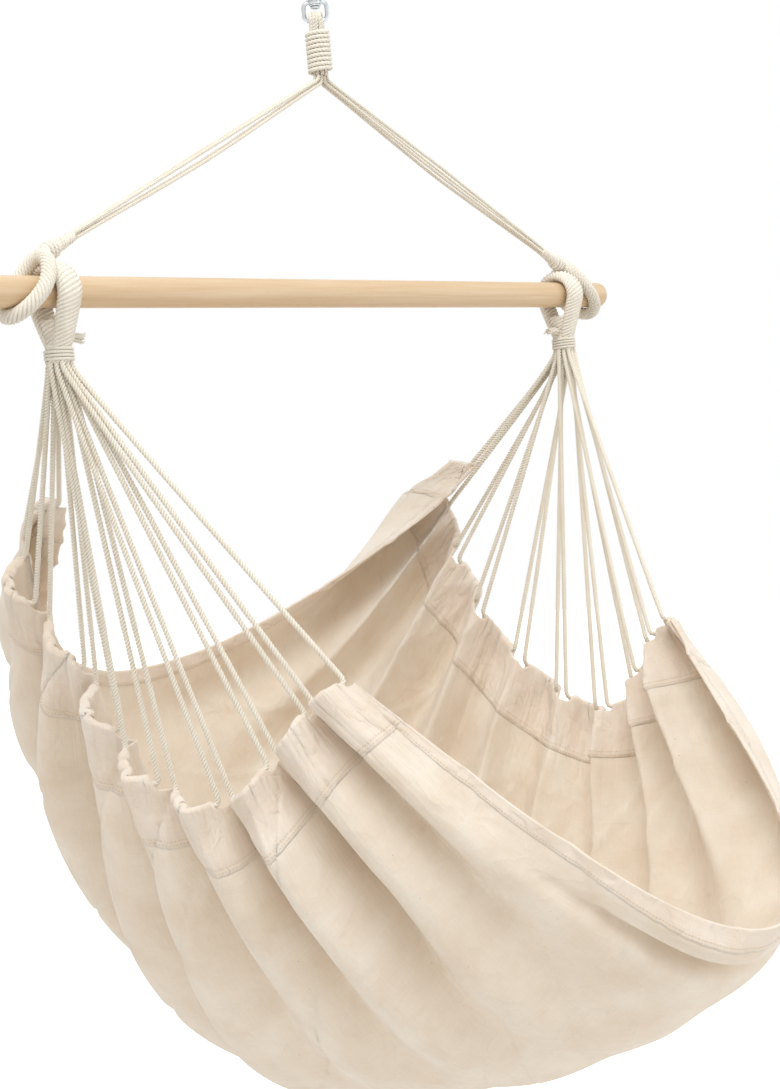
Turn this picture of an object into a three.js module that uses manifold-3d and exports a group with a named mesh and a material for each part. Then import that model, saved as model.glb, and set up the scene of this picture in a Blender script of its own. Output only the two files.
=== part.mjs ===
// Hammock chair: a cotton sling hung by cords from a beech spreader bar, which hangs by a rope
// bridle from a steel swivel. Millimetres, +Z up, the bar along X, the front of the seat at -Y.
// The origin is where a ceiling hook bears on the inside top of the swivel's upper eye.
import * as THREE from "three";
import { mergeVertices } from "three/addons/utils/BufferGeometryUtils.js";
import Module from "manifold-3d";

const wasm = await Module();
wasm.setup();

// Driving dimensions
const clearance = 0.3; // between pieces that touch or turn in each other
const overrun = 2; // how far a cut runs past the faces that it opens

const eye = { bore: 26, wire: 7, collarDiameter: 20, collarHeight: 9, shoulder: 4 };
const pin = { diameter: 6, seatDepth: 6, headDiameter: 10, headHeight: 3, headRounding: 1 };
const washer = { diameter: 13, thickness: 1.2 };
const stirrup = { wire: 4.6, innerWidth: 20, cornerRadius: 6, bossDiameter: 13, bossHeight: 5.5 };
const ropeEye = { width: 17, thickness: 7.5, headroom: 2.5, crotch: 7, neckDiameter: 17.6 };
const whipping = { cord: 4.3, turns: 9, gap: 0.5, below: 1 };
const bridle = { cord: 4.2, gap: 0.4, rise: 233, spread: 8 };
const bar = { length: 1000, diameter: 30, endRounding: 4 };
const noose = { rope: 12.5, fromBarEnd: 38, lean: 9, neckLength: 76, headDiameter: 11 };
const slingLoop = {
  fromBarEnd: 84,
  bandWidth: 25,
  bandThickness: 10,
  waistDiameter: 22.6,
  waistBelowBar: 51,
  flareHeight: 4,
};
const collar = { cord: 2.8, turns: 4, gap: 0.42 };
const tail = { diameter: 7.5, length: 24, lift: 4 };
const cord = { diameter: 5, gap: 1 };
const sling = { halfWidth: 350, depth: 900, drop: 870 };
const cloth = { thickness: 1.8, halfGirth: 600, middleLength: 1400, seam: 1.2 };
const sideHem = { depth: 76, thickness: 2.4, wall: 1.8, lobe: 22 };
const edgeHem = { depth: 22, thickness: 2.2 };
const stirrupTurn = THREE.MathUtils.degToRad(-51); // the stirrup's rest, turned from the bar

// Where the side hem hangs, from its front corner to its back one: out from the middle as a
// share of the sling's half width, back as a share of its depth, and down as a share of its
// drop below the bar. Each row lies between two of the hem's lobes.
const hemShares = [
  [0.79, -0.225, 0.439],
  [0.83, -0.18, 0.469],
  [0.875, -0.14, 0.52],
  [0.915, -0.082, 0.564],
  [0.95, -0.013, 0.546],
  [0.945, 0.05, 0.495],
  [0.91, 0.102, 0.423],
  [0.965, 0.15, 0.345],
  [1, 0.16, 0.275],
  [0.99, 0.093, 0.225],
];
// The seat's middle line from the front edge to the back one, back and down in the same shares.
const middleShares = [
  [-0.53, 0.755],
  [-0.455, 0.835],
  [-0.325, 0.903],
  [-0.175, 0.962],
  [-0.02, 0.995],
  [0.12, 0.99],
  [0.235, 0.92],
  [0.33, 0.8],
  [0.38, 0.66],
  [0.4, 0.54],
  [0.39, 0.46],
];
// How deep the folds stand, as a share of the lobe, from the seat's middle to the side hem.
const foldShares = [0.12, 0.3, 0.7, 1.2, 1.4, 1.2, 1];
const slotShare = 0.25; // of a lobe, from its end to where the cord leaves the hem

const turnedSegments = 20;
const wireSides = 8;
const ropeSides = 8;
const cordSides = 6;
const windingSteps = 12;
const stepsPerLobe = 4;
const panelSteps = 10;

const finishes = {
  beech: { color: 0xe3c08f, roughness: 0.55, metalness: 0 },
  rope: { color: 0xece2cb, roughness: 0.95, metalness: 0 },
  cord: { color: 0xefe8d6, roughness: 0.95, metalness: 0 },
  canvas: { color: 0xe6d8c3, roughness: 0.95, metalness: 0 },
  hemming: { color: 0xe9dcc8, roughness: 0.95, metalness: 0 },
  zinc: { color: 0xb9bdc0, roughness: 0.35, metalness: 0.9 },
};

const chair = new THREE.Group();
const sides = { left: -1, right: 1 };

function add(name, geometry, finish) {
  const mesh = new THREE.Mesh(geometry, new THREE.MeshStandardMaterial(finishes[finish]));
  mesh.name = name;
  chair.add(mesh);
  return mesh;
}

// Solids and booleans

function signedVolume(position, index) {
  const [a, b, c] = [new THREE.Vector3(), new THREE.Vector3(), new THREE.Vector3()];
  let sum = 0;
  for (let i = 0; i < index.length; i += 3) {
    a.fromBufferAttribute(position, index[i]);
    b.fromBufferAttribute(position, index[i + 1]);
    c.fromBufferAttribute(position, index[i + 2]);
    sum += a.dot(b.cross(c));
  }
  return sum;
}

function toSolid(geometry) {
  const bare = geometry.clone();
  bare.deleteAttribute("normal");
  bare.deleteAttribute("uv");
  const merged = mergeVertices(bare, 1e-4);
  return new wasm.Manifold(
    new wasm.Mesh({
      numProp: 3,
      vertProperties: merged.attributes.position.array,
      triVerts: new Uint32Array(merged.index.array),
    }),
  );
}

function fromSolid(solid) {
  const mesh = solid.getMesh();
  return new THREE.BufferGeometry()
    .setAttribute("position", new THREE.BufferAttribute(new Float32Array(mesh.vertProperties), 3))
    .setIndex(new THREE.BufferAttribute(new Uint32Array(mesh.triVerts), 1));
}

const joined = (...geometries) =>
  fromSolid(geometries.map(toSolid).reduce((whole, piece) => whole.add(piece)));

// A piece with its cuts, without any chip that they leave loose.
function cut(geometry, ...tools) {
  const whole = tools.map(toSolid).reduce((rest, tool) => rest.subtract(tool), toSolid(geometry));
  const bodies = whole.decompose();
  return fromSolid(bodies.reduce((a, b) => (a.volume() > b.volume() ? a : b)));
}

// A skin over rings of equally many points, an even number, each of its quads split along its
// shorter diagonal. Unless it closes on itself, strips across the ring cap each end.
function loft(rings, closesUp = false) {
  const size = rings[0].length;
  const points = rings.flat();
  const faces = [];
  const quad = (a, b, c, d) => {
    const isShorter = points[a].distanceTo(points[c]) <= points[b].distanceTo(points[d]);
    faces.push(...(isShorter ? [a, b, c, a, c, d] : [a, b, d, b, c, d]));
  };
  for (let i = 0; i < (closesUp ? rings.length : rings.length - 1); i++)
    for (let j = 0; j < size; j++) {
      const [here, there, next] = [i * size, ((i + 1) % rings.length) * size, (j + 1) % size];
      quad(here + j, there + j, there + next, here + next);
    }
  const last = (rings.length - 1) * size;
  for (let j = 0; j + 1 < size / 2 && !closesUp; j++) {
    const across = size - 1 - j;
    quad(j, j + 1, across - 1, across);
    quad(last + j, last + across, last + across - 1, last + j + 1);
  }
  const geometry = new THREE.BufferGeometry().setFromPoints(points);
  const isInsideOut = signedVolume(geometry.attributes.position, faces) < 0;
  return geometry.setIndex(isInsideOut ? faces.toReversed() : faces);
}

// Frames that turn along a line of points without twisting.
function framesAlong(points, firstNormal, closesUp) {
  const count = points.length;
  const tangents = points.map((_, i) => {
    const before = points[closesUp ? (i + count - 1) % count : Math.max(i - 1, 0)];
    const after = points[closesUp ? (i + 1) % count : Math.min(i + 1, count - 1)];
    return after.clone().sub(before).normalize();
  });
  const normals = [];
  tangents.forEach((tangent, i) => {
    const previous = i ? normals[i - 1] : firstNormal;
    normals.push(previous.clone().projectOnPlane(tangent).normalize());
  });
  return tangents.map((tangent, i) => ({
    normal: normals[i],
    side: tangent.clone().cross(normals[i]),
  }));
}

// A tube of round or oval section along points: one half size, or a list with one for each
// point, along the frame's normal, and another along its side.
function tube(points, halfNormal, halfSide, count, firstNormal, closesUp = false) {
  const at = (size, i) => (typeof size === "number" ? size : size[i]);
  const rings = framesAlong(points, firstNormal, closesUp).map(({ normal, side }, i) =>
    Array.from({ length: count }, (_, k) => {
      const angle = (2 * Math.PI * (k + 0.5)) / count;
      return points[i]
        .clone()
        .addScaledVector(normal, at(halfNormal, i) * Math.cos(angle))
        .addScaledVector(side, at(halfSide, i) * Math.sin(angle));
    }),
  );
  return loft(rings, closesUp);
}

const alongX = new THREE.Vector3(1, 0, 0);
const alongY = new THREE.Vector3(0, 1, 0);
const alongZ = new THREE.Vector3(0, 0, 1);
const cordTube = (points, diameter) =>
  tube(points, diameter / 2, diameter / 2, cordSides, alongY);

// A turned piece about the Z axis: radius and height pairs.
function turned(profile, segments = turnedSegments) {
  const outline = profile.map(([radius, height]) => new THREE.Vector2(radius, height));
  return new THREE.LatheGeometry(outline, segments).rotateX(Math.PI / 2);
}

const disc = (radius, bottom, top) =>
  turned([
    [0, bottom],
    [radius, bottom],
    [radius, top],
    [0, top],
  ]);

// A rounded corner of a cord's line, without its two ends.
function rounded(before, corner, after) {
  return new THREE.QuadraticBezierCurve3(before, corner, after).getPoints(2).slice(1, -1);
}

const range = (from, to, steps) =>
  Array.from({ length: steps + 1 }, (_, i) => from + ((to - from) * i) / steps);

// Windings: the middle line of turns round Z, whose ends run straight for one cord diameter.

const windingHeight = ({ cord: diameter, turns, gap }) => turns * (diameter + gap) + diameter;

function windingLine(core, { cord: diameter, turns, gap }, bottom) {
  const turn = (2 * Math.PI) / windingSteps;
  const radius = (core / 2 + clearance + diameter / 2) / Math.cos(turn / 2);
  const points = range(0, turns * windingSteps, turns * windingSteps).map(
    (i) =>
      new THREE.Vector3(
        radius * Math.cos(turn * i),
        radius * Math.sin(turn * i),
        bottom + diameter / 2 + ((diameter + gap) * i) / windingSteps,
      ),
  );
  const runOut = (end, next) => end.clone().add(end.clone().sub(next).setLength(diameter));
  return [runOut(points[0], points[1]), ...points, runOut(points.at(-1), points.at(-2))];
}

// The least gap between a wound cord and its own other turns, measured on its middle line.
function leastGap(line, diameter) {
  let least = Infinity;
  line.forEach((p, i) =>
    line.slice(i + Math.ceil(windingSteps / 2)).forEach((q) => {
      least = Math.min(least, p.distanceTo(q));
    }),
  );
  return least - diameter;
}

function addWinding(name, line, diameter) {
  console.log(`${name}: least gap to itself ${leastGap(line, diameter).toFixed(2)} mm`);
  return add(name, tube(line, diameter / 2, diameter / 2, cordSides, alongZ), "rope");
}

// A strap over a round bar along X, its legs drawn together into a neck below.
function strap({ axis, round, width, thickness, footHeight, footSpan, footWidth }) {
  const reach = Math.hypot(footSpan / 2, axis - footHeight);
  const footAngle = Math.PI - Math.atan2(footSpan / 2, axis - footHeight);
  const leaves = footAngle - Math.acos(round / reach);
  const over = range(-leaves, leaves, 12).map(
    (angle) => new THREE.Vector3(0, round * Math.sin(angle), axis + round * Math.cos(angle)),
  );
  const foot = (sign) => new THREE.Vector3(0, (sign * footSpan) / 2, footHeight);
  const halves = [footWidth / 2, ...over.map(() => width / 2), footWidth / 2];
  return tube([foot(-1), ...over, foot(1)], halves, thickness / 2, ropeSides, alongX);
}

// A round neck under a strap, with a cone above it where the strap's legs run in.
function neck(diameter, bottom, top, flare) {
  const radius = diameter / 2;
  return turned([
    [0, flare ? flare.bottom : bottom],
    ...(flare ? [[flare.diameter / 2, flare.bottom]] : []),
    [radius, bottom],
    [radius, top],
    [radius * 0.75, top + radius * 0.6],
    [0, top + radius * 0.6],
  ]);
}

// Heights, from the swivel's eye down to the bar

const eyeCentre = -eye.bore / 2;
const collarTop = -eye.bore - eye.wire / 2;
const collarBottom = collarTop - eye.wire / 2 - eye.collarHeight;
const bossTop = collarBottom - clearance;
const bossBottom = bossTop - stirrup.bossHeight;
const washerTop = bossBottom - clearance;
const washerBottom = washerTop - washer.thickness;
const headTop = washerBottom - clearance;
const headBottom = headTop - pin.headHeight;
const ropeTop = headBottom - ropeEye.headroom;
const stirrupBar = ropeTop - ropeEye.thickness - clearance - stirrup.wire / 2;
const whippingTop = stirrupBar - stirrup.wire / 2 - ropeEye.crotch;
const whippingBottom = whippingTop - windingHeight(whipping);
const neckBottom = whippingBottom - whipping.below;
const barHeight = neckBottom - bridle.rise;
const barRadius = bar.diameter / 2;

// Steel swivel: an eye whose pin carries a stirrup of round wire

function upperEye() {
  const ring = new THREE.TorusGeometry((eye.bore + eye.wire) / 2, eye.wire / 2, wireSides, 24)
    .rotateX(Math.PI / 2)
    .translate(0, 0, eyeCentre);
  const radius = eye.collarDiameter / 2;
  const boss = turned([
    [0, collarBottom],
    [radius, collarBottom],
    [radius, collarTop - eye.wire / 2 - eye.shoulder],
    [radius - eye.shoulder, collarTop - eye.wire / 2],
    [radius - eye.shoulder, collarTop],
    [0, collarTop],
  ]);
  const seatRadius = pin.diameter / 2 + clearance;
  const seat = disc(seatRadius, collarBottom - overrun, collarBottom + pin.seatDepth);
  return cut(joined(ring, boss), seat);
}

function swivelPin() {
  const headRadius = pin.headDiameter / 2;
  return turned([
    [0, headBottom],
    [headRadius - pin.headRounding, headBottom],
    [headRadius, headBottom + pin.headRounding],
    [headRadius, headTop],
    [pin.diameter / 2, headTop],
    [pin.diameter / 2, collarBottom + pin.seatDepth - clearance],
    [0, collarBottom + pin.seatDepth - clearance],
  ]);
}

function thrustWasher() {
  const whole = disc(washer.diameter / 2, washerBottom, washerTop);
  const bore = disc(pin.diameter / 2 + clearance, washerBottom - overrun, washerTop + overrun);
  return cut(whole, bore);
}

function stirrupBow() {
  const half = (stirrup.innerWidth + stirrup.wire) / 2;
  const top = (bossTop + bossBottom) / 2;
  const r = stirrup.cornerRadius;
  const corners = [
    [half - r, top - r, 0],
    [-half + r, top - r, 1],
    [-half + r, stirrupBar + r, 2],
    [half - r, stirrupBar + r, 3],
  ];
  const points = corners.flatMap(([x, z, quarter]) =>
    range(quarter, quarter + 1, 4).map((share) => {
      const angle = (share * Math.PI) / 2;
      return new THREE.Vector3(x + r * Math.cos(angle), 0, z + r * Math.sin(angle));
    }),
  );
  const wire = tube(points, stirrup.wire / 2, stirrup.wire / 2, wireSides, alongY, true);
  const boss = disc(stirrup.bossDiameter / 2, bossBottom, bossTop);
  const bore = disc(pin.diameter / 2 + clearance, bossBottom - overrun, bossTop + overrun);
  return cut(joined(wire, boss), bore).rotateZ(stirrupTurn);
}

add("upper_eye", upperEye(), "zinc");
add("swivel_pin", swivelPin(), "zinc");
add("thrust_washer", thrustWasher(), "zinc");
add("stirrup", stirrupBow(), "zinc");

// Rope eye round the stirrup's bar, and the whipping round its neck

function ropeEyeStrap() {
  const loop = strap({
    axis: stirrupBar,
    round: stirrup.wire / 2 + clearance + ropeEye.thickness / 2,
    width: ropeEye.width,
    thickness: ropeEye.thickness,
    footHeight: whippingTop + ropeEye.thickness / 4,
    footSpan: ropeEye.neckDiameter - ropeEye.thickness - clearance,
    footWidth: ropeEye.neckDiameter * 0.9,
  }).rotateZ(stirrupTurn);
  return joined(loop, neck(ropeEye.neckDiameter, neckBottom, whippingTop));
}

const whippingLine = windingLine(ropeEye.neckDiameter, whipping, whippingBottom);
add("rope_eye", ropeEyeStrap(), "rope");
addWinding("eye_whipping", whippingLine, whipping.cord);

// Spreader bar

function spreaderBar() {
  const [half, rounding] = [bar.length / 2, bar.endRounding];
  const corner = (sign) =>
    range(0, Math.PI / 2, 3).map((angle) => [
      barRadius - rounding * (1 - Math.cos(angle)),
      sign * (half - rounding * (1 - Math.sin(angle))),
    ]);
  return turned([[0, -half], ...corner(-1).toReversed(), ...corner(1), [0, half]], 24)
    .rotateY(Math.PI / 2)
    .translate(0, 0, barHeight);
}

add("spreader_bar", spreaderBar(), "beech");

// Bridle: on each side a noose round the bar, and four cords from it up to the rope eye's neck

const nooseRound = barRadius + clearance + noose.rope / 2;
const nooseCentre = bar.length / 2 - noose.fromBarEnd;
const nooseTop = new THREE.Vector3(nooseCentre - noose.lean, 0, barHeight + nooseRound);
const bridlePitch = bridle.cord + bridle.gap;
const legTop = new THREE.Vector3(bridlePitch, 0, neckBottom - clearance - 1.5 * bridle.cord);
const legDirection = legTop.clone().sub(nooseTop).normalize();
const nooseHead = nooseTop.clone().addScaledVector(legDirection, noose.neckLength);

function nooseRope(side) {
  const ring = range(0, 2 * Math.PI, 18)
    .slice(1)
    .map(
      (angle) =>
        new THREE.Vector3(
          side * (nooseCentre - noose.lean * Math.cos(angle)),
          nooseRound * Math.sin(angle),
          barHeight + nooseRound * Math.cos(angle),
        ),
    );
  const radius = noose.rope / 2;
  const loop = tube(ring, radius, radius, ropeSides, alongX, true);
  const standing = [nooseTop, nooseTop.clone().lerp(nooseHead, 0.5), nooseHead].map((p) =>
    p.clone().multiply(new THREE.Vector3(side, 1, 1)),
  );
  const radii = [radius, radius, noose.headDiameter / 2];
  return joined(loop, tube(standing, radii, radii, ropeSides, alongY));
}

// A cord of the bridle: upper or lower in its leg, and before or behind the leg's middle.
function bridleCord(side, isUpper, isBehind) {
  const [up, out] = [isUpper ? 0.5 : -0.5, isBehind ? 0.5 : -0.5];
  const across = new THREE.Vector3(legDirection.z, 0, -legDirection.x);
  const place = (point, pitch) =>
    point.clone().addScaledVector(across, up * pitch).addScaledVector(alongY, out * pitch);
  const lower = place(nooseHead.clone().addScaledVector(legDirection, clearance), bridlePitch);
  const middle = place(nooseHead.clone().lerp(legTop, 0.5), bridle.spread);
  const corner = place(legTop, bridlePitch);
  corner.addScaledVector(legDirection, (legTop.x * (1 + up) - corner.x) / legDirection.x);
  const end = corner.clone().setZ(neckBottom - clearance);
  const before = corner.clone().lerp(middle, (1.2 * bridle.cord) / corner.distanceTo(middle));
  const after = corner.clone().lerp(end, 0.5);
  return [lower, middle, before, ...rounded(before, corner, after), after, end].map((p) =>
    p.multiply(new THREE.Vector3(side, 1, 1)),
  );
}

for (const [name, side] of Object.entries(sides)) {
  add(`noose_${name}`, nooseRope(side), "rope");
  let number = 1;
  for (const isUpper of [true, false])
    for (const isBehind of [true, false]) {
      const line = bridleCord(side, isUpper, isBehind);
      add(`bridle_cord_${name}_${number++}`, cordTube(line, bridle.cord), "cord");
    }
}

// Sling loops over the bar, their whipped collars and the collars' cut ends

const loopCentre = bar.length / 2 - slingLoop.fromBarEnd;
const waistRadius = slingLoop.waistDiameter / 2;
const waistTop = barHeight - slingLoop.waistBelowBar;
const waistBottom = waistTop - windingHeight(collar) - clearance;
const flareBottom = waistBottom - slingLoop.flareHeight;
const bundlePitch = cord.diameter + cord.gap;

// The loop with its neck, or the room that it takes with so much space all round it.
function slingLoopRope(space = 0) {
  const band = strap({
    axis: barHeight,
    round: barRadius + clearance + slingLoop.bandThickness / 2,
    width: slingLoop.bandWidth + 2 * space,
    thickness: slingLoop.bandThickness + 2 * space,
    footHeight: waistTop + slingLoop.bandThickness / 4,
    footSpan: slingLoop.waistDiameter - slingLoop.bandThickness - clearance,
    footWidth: slingLoop.waistDiameter * 0.9 + 2 * space,
  });
  const flare = { diameter: 4 * bundlePitch + cord.diameter, bottom: flareBottom };
  const waist = slingLoop.waistDiameter + 2 * space;
  return joined(band, neck(waist, waistBottom, waistTop + space, flare));
}

// The cut ends of the whipping, a stub that stands out of the neck towards the bar's middle.
function collarTail(side) {
  const height = waistTop + tail.diameter / 2 + clearance;
  const line = [
    [waistRadius - tail.diameter / 2, 0],
    [waistRadius + tail.length / 2, tail.lift],
    [waistRadius + tail.length, 0.7 * tail.lift],
  ].map(([out, up]) => new THREE.Vector3(-side * out, 0, height + up));
  const stub = tube(line, tail.diameter / 2, tail.diameter / 2, ropeSides, alongY);
  return cut(stub, slingLoopRope(clearance));
}

const collarLine = windingLine(slingLoop.waistDiameter, collar, waistBottom + clearance / 2);

for (const [name, side] of Object.entries(sides)) {
  const pieces = [
    add(`sling_loop_${name}`, slingLoopRope(), "rope"),
    addWinding(`collar_${name}`, collarLine, collar.cord),
    add(`collar_tail_${name}`, collarTail(side), "rope"),
  ];
  for (const piece of pieces) piece.position.x = side * loopCentre;
}

// The sling's surface. u runs from -1 at the left hem to 1 at the right one, and v from 0 at
// the front edge to 1 at the back edge.

const lobes = hemShares.length - 1;
const placed = (x, y, z) =>
  new THREE.Vector3(x * sling.halfWidth, y * sling.depth, barHeight - z * sling.drop);
const hemCurve = new THREE.CatmullRomCurve3(
  hemShares.map((row) => placed(...row)),
  false,
  "catmullrom",
  0.5,
);
const middleCurve = new THREE.CatmullRomCurve3(middleShares.map(([y, z]) => placed(0, y, z)));

// The size of a hanging chain with this half span and sag, by bisection.
function chainSize(halfSpan, sag) {
  let [low, high] = [0.05, 8];
  for (let i = 0; i < 40; i++) {
    const middle = (low + high) / 2;
    if ((Math.cosh(middle) - 1) / middle < sag / halfSpan) low = middle;
    else high = middle;
  }
  return halfSpan / low;
}

const within = (value, low, high) => Math.min(Math.max(value, low), high);

// The cloth without its folds: a hanging chain from hem to hem at each v.
function smoothCloth(u, v) {
  const foot = hemCurve.getPoint(within(v, 0, 1));
  const middle = middleCurve.getPointAt(within(v, 0, 1));
  const level = new THREE.Vector3(0, foot.y, foot.z);
  const down = middle.clone().sub(level);
  const sag = down.length();
  const size = chainSize(foot.x, sag);
  const along = u * size * Math.sinh(foot.x / size);
  const rise = Math.hypot(size, along) - size;
  return level.addScaledVector(down, (sag - rise) / sag).setX(size * Math.asinh(along / size));
}

// The outward normal of a surface point, from its neighbours.
function normalOf(surface, u, v) {
  const step = 1e-3;
  const alongU = surface(u + step, v).sub(surface(u - step, v));
  const alongV = surface(u, within(v + step, 0, 1)).sub(surface(u, within(v - step, 0, 1)));
  return alongV.cross(alongU).normalize();
}

function foldDepth(u) {
  const place = within(Math.abs(u), 0, 1) * (foldShares.length - 1);
  const i = Math.min(Math.floor(place), foldShares.length - 2);
  return sideHem.lobe * THREE.MathUtils.lerp(foldShares[i], foldShares[i + 1], place - i);
}

const lobeWave = (v) => (1 - Math.cos(2 * Math.PI * lobes * v)) / 2;
const clothPoint = (u, v) =>
  smoothCloth(u, v).addScaledVector(normalOf(smoothCloth, u, v), foldDepth(u) * lobeWave(v));
const clothNormal = (u, v) => normalOf(clothPoint, u, v);
const facePoint = (u, v, offset) =>
  clothPoint(u, v).addScaledVector(clothNormal(u, v), offset);

// A closed sheet over a grid of the surface.
function clothSheet(us, vs, thickness) {
  const rings = vs.map((v) => [
    ...us.map((u) => facePoint(u, v, thickness / 2)),
    ...us.map((u) => facePoint(u, v, -thickness / 2)).toReversed(),
  ]);
  return loft(rings);
}

const edgeShare = edgeHem.depth / cloth.middleLength;
const seamV = cloth.seam / cloth.middleLength;
const seamU = cloth.seam / cloth.halfGirth;
const bandEdge = 1 - sideHem.depth / cloth.halfGirth;
const gridV = range(0, 1, lobes * stepsPerLobe);
const panelU = range(seamU - bandEdge, bandEdge - seamU, panelSteps);
const panelV = [
  edgeShare + seamV,
  ...gridV.filter((v) => v > edgeShare + seamV && v < 1 - edgeShare - seamV),
  1 - edgeShare - seamV,
];

add("seat_cloth", clothSheet(panelU, panelV, cloth.thickness), "canvas");
add("front_hem", clothSheet(panelU, [0, edgeShare], edgeHem.thickness), "hemming");
add("back_hem", clothSheet(panelU, [1 - edgeShare, 1], edgeHem.thickness), "hemming");

// Side hems: a folded band, and along its top one tunnel in each lobe, where a cord runs.

const tunnelBore = (cord.diameter / 2 + clearance) / Math.cos(Math.PI / cordSides);
const tunnelOuter = tunnelBore + sideHem.wall / Math.cos(Math.PI / cordSides);
const bandTop = 1 - (tunnelBore + sideHem.wall / 2) / cloth.halfGirth;

function tunnelLine(side, lobe) {
  return range(lobe + slotShare, lobe + 1 - slotShare, 2).map((place) =>
    clothPoint(side, place / lobes),
  );
}

// Cord loops: from the collar down to the hem, through the tunnel of one lobe and up again.

// The places of 18 cords in a round bundle, in rows from the front to the back.
function bundlePlaces() {
  const rows = [3, 4, 4, 4, 3];
  return rows.flatMap((count, row) => {
    const isMiddle = row === 2;
    const places = isMiddle ? [-2, -1, 1, 2] : range(-(count - 1) / 2, (count - 1) / 2, count - 1);
    const height = (row - 2) * Math.sin(Math.PI / 3);
    const inOrder = row === rows.length - 1 ? places.toReversed() : places;
    return inOrder.map((place) => [place * bundlePitch, height * bundlePitch]);
  });
}

const places = bundlePlaces();

// From the mouth of a tunnel, round a bend and up to the cord's place under the collar.
function cordRise(side, mouth, inside, [x, y]) {
  const top = new THREE.Vector3(
    side * (loopCentre + x),
    y,
    flareBottom - clearance,
  );
  const stub = top.clone().addScaledVector(alongZ, -cord.diameter);
  const out = mouth.clone().sub(inside).normalize();
  const corner = mouth.clone().addScaledVector(out, cord.diameter);
  const up = stub.clone().sub(corner).normalize();
  const after = corner.clone().addScaledVector(up, 1.6 * cord.diameter);
  return [...rounded(mouth, corner, after), after, stub, top];
}

function cordLine(side, lobe, tunnel) {
  const first = cordRise(side, tunnel[0], tunnel[1], places[2 * lobe]);
  const last = cordRise(side, tunnel.at(-1), tunnel.at(-2), places[2 * lobe + 1]);
  return [...first.toReversed(), ...tunnel, ...last];
}

function sideHemBand(side, tunnels, lines) {
  const us = [side * bandEdge, side * bandTop];
  const band = clothSheet(us, gridV, sideHem.thickness);
  const walls = tunnels.map((line) => cordTube(line, 2 * tunnelOuter));
  const bores = lines.map((line) => cordTube(line, 2 * tunnelBore));
  return cut(joined(band, ...walls), ...bores);
}

for (const [name, side] of Object.entries(sides)) {
  const tunnels = range(0, lobes - 1, lobes - 1).map((lobe) => tunnelLine(side, lobe));
  const lines = tunnels.map((tunnel, lobe) => cordLine(side, lobe, tunnel));
  add(`side_hem_${name}`, sideHemBand(side, tunnels, lines), "hemming");
  lines.forEach((line, lobe) =>
    add(`cord_loop_${name}_${lobe + 1}`, cordTube(line, cord.diameter), "cord"),
  );
}

export default chair;
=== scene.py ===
"""A hammock chair in natural cotton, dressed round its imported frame.

A deep cotton sling hangs by fans of laid cord from a beech spreader bar. The bar hangs by a
rope bridle from a zinc plated swivel. Everything is in metres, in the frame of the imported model:
+Z up, the bar along X, the front of the seat at -Y and the origin at the top of the hanging eye.
"""

import logging
import math
from dataclasses import dataclass, field
from enum import Enum
from typing import Callable, Sequence

import bmesh
import bpy
import numpy as np
from mathutils import Matrix


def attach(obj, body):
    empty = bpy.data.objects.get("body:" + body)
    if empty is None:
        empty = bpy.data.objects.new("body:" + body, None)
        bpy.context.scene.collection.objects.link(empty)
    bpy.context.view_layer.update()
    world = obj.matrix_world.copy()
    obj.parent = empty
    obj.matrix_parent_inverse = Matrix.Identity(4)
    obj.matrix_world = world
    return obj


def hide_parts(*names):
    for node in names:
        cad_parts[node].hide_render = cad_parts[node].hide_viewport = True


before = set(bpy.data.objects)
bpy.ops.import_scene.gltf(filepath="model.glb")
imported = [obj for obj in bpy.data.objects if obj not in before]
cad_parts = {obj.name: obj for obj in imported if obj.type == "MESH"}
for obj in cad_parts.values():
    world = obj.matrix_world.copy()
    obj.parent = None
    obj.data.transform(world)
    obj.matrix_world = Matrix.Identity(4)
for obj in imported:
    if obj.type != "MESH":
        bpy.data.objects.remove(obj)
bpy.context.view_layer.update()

Array, Piece, Material = np.ndarray, bpy.types.Object, bpy.types.Material
NodeTree, Socket = bpy.types.NodeTree, bpy.types.NodeSocket

MM = 0.001
WELD = 0.05 * MM  # how near two vertices are one
STEP = 1 * MM  # how far apart the points of a rope's line lie
PATH_STEP = 2 * MM  # the same along a cord's path
FINE_STEP = 1.2 * MM  # how far apart a tightly bent cord's rings lie
SERVING_STEP = 1.5 * MM  # the same for the cord of a serving
PITCH = 10.5 * MM  # how far a strand of laid cord runs in one turn
SEED = 7
LOG = logging.getLogger("hammock_chair")
ALONG_X, ALONG_Y, ALONG_Z = np.eye(3)


class Side(Enum):
    """The two ends of the bar, as the viewer in front of the chair sees them."""

    LEFT = -1
    RIGHT = 1

    @property
    def word(self) -> str:
        """The side's word in the names of pieces."""
        return self.name.lower()


# Numbers and noise


def smooth_step(share: Array) -> Array:
    """Ease a share from 0 to 1 with level ends.

    Args:
        share: Values, which are cut off at 0 and 1.

    Returns:
        The eased values.
    """
    share = np.clip(share, 0.0, 1.0)
    return share * share * (3.0 - 2.0 * share)


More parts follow.
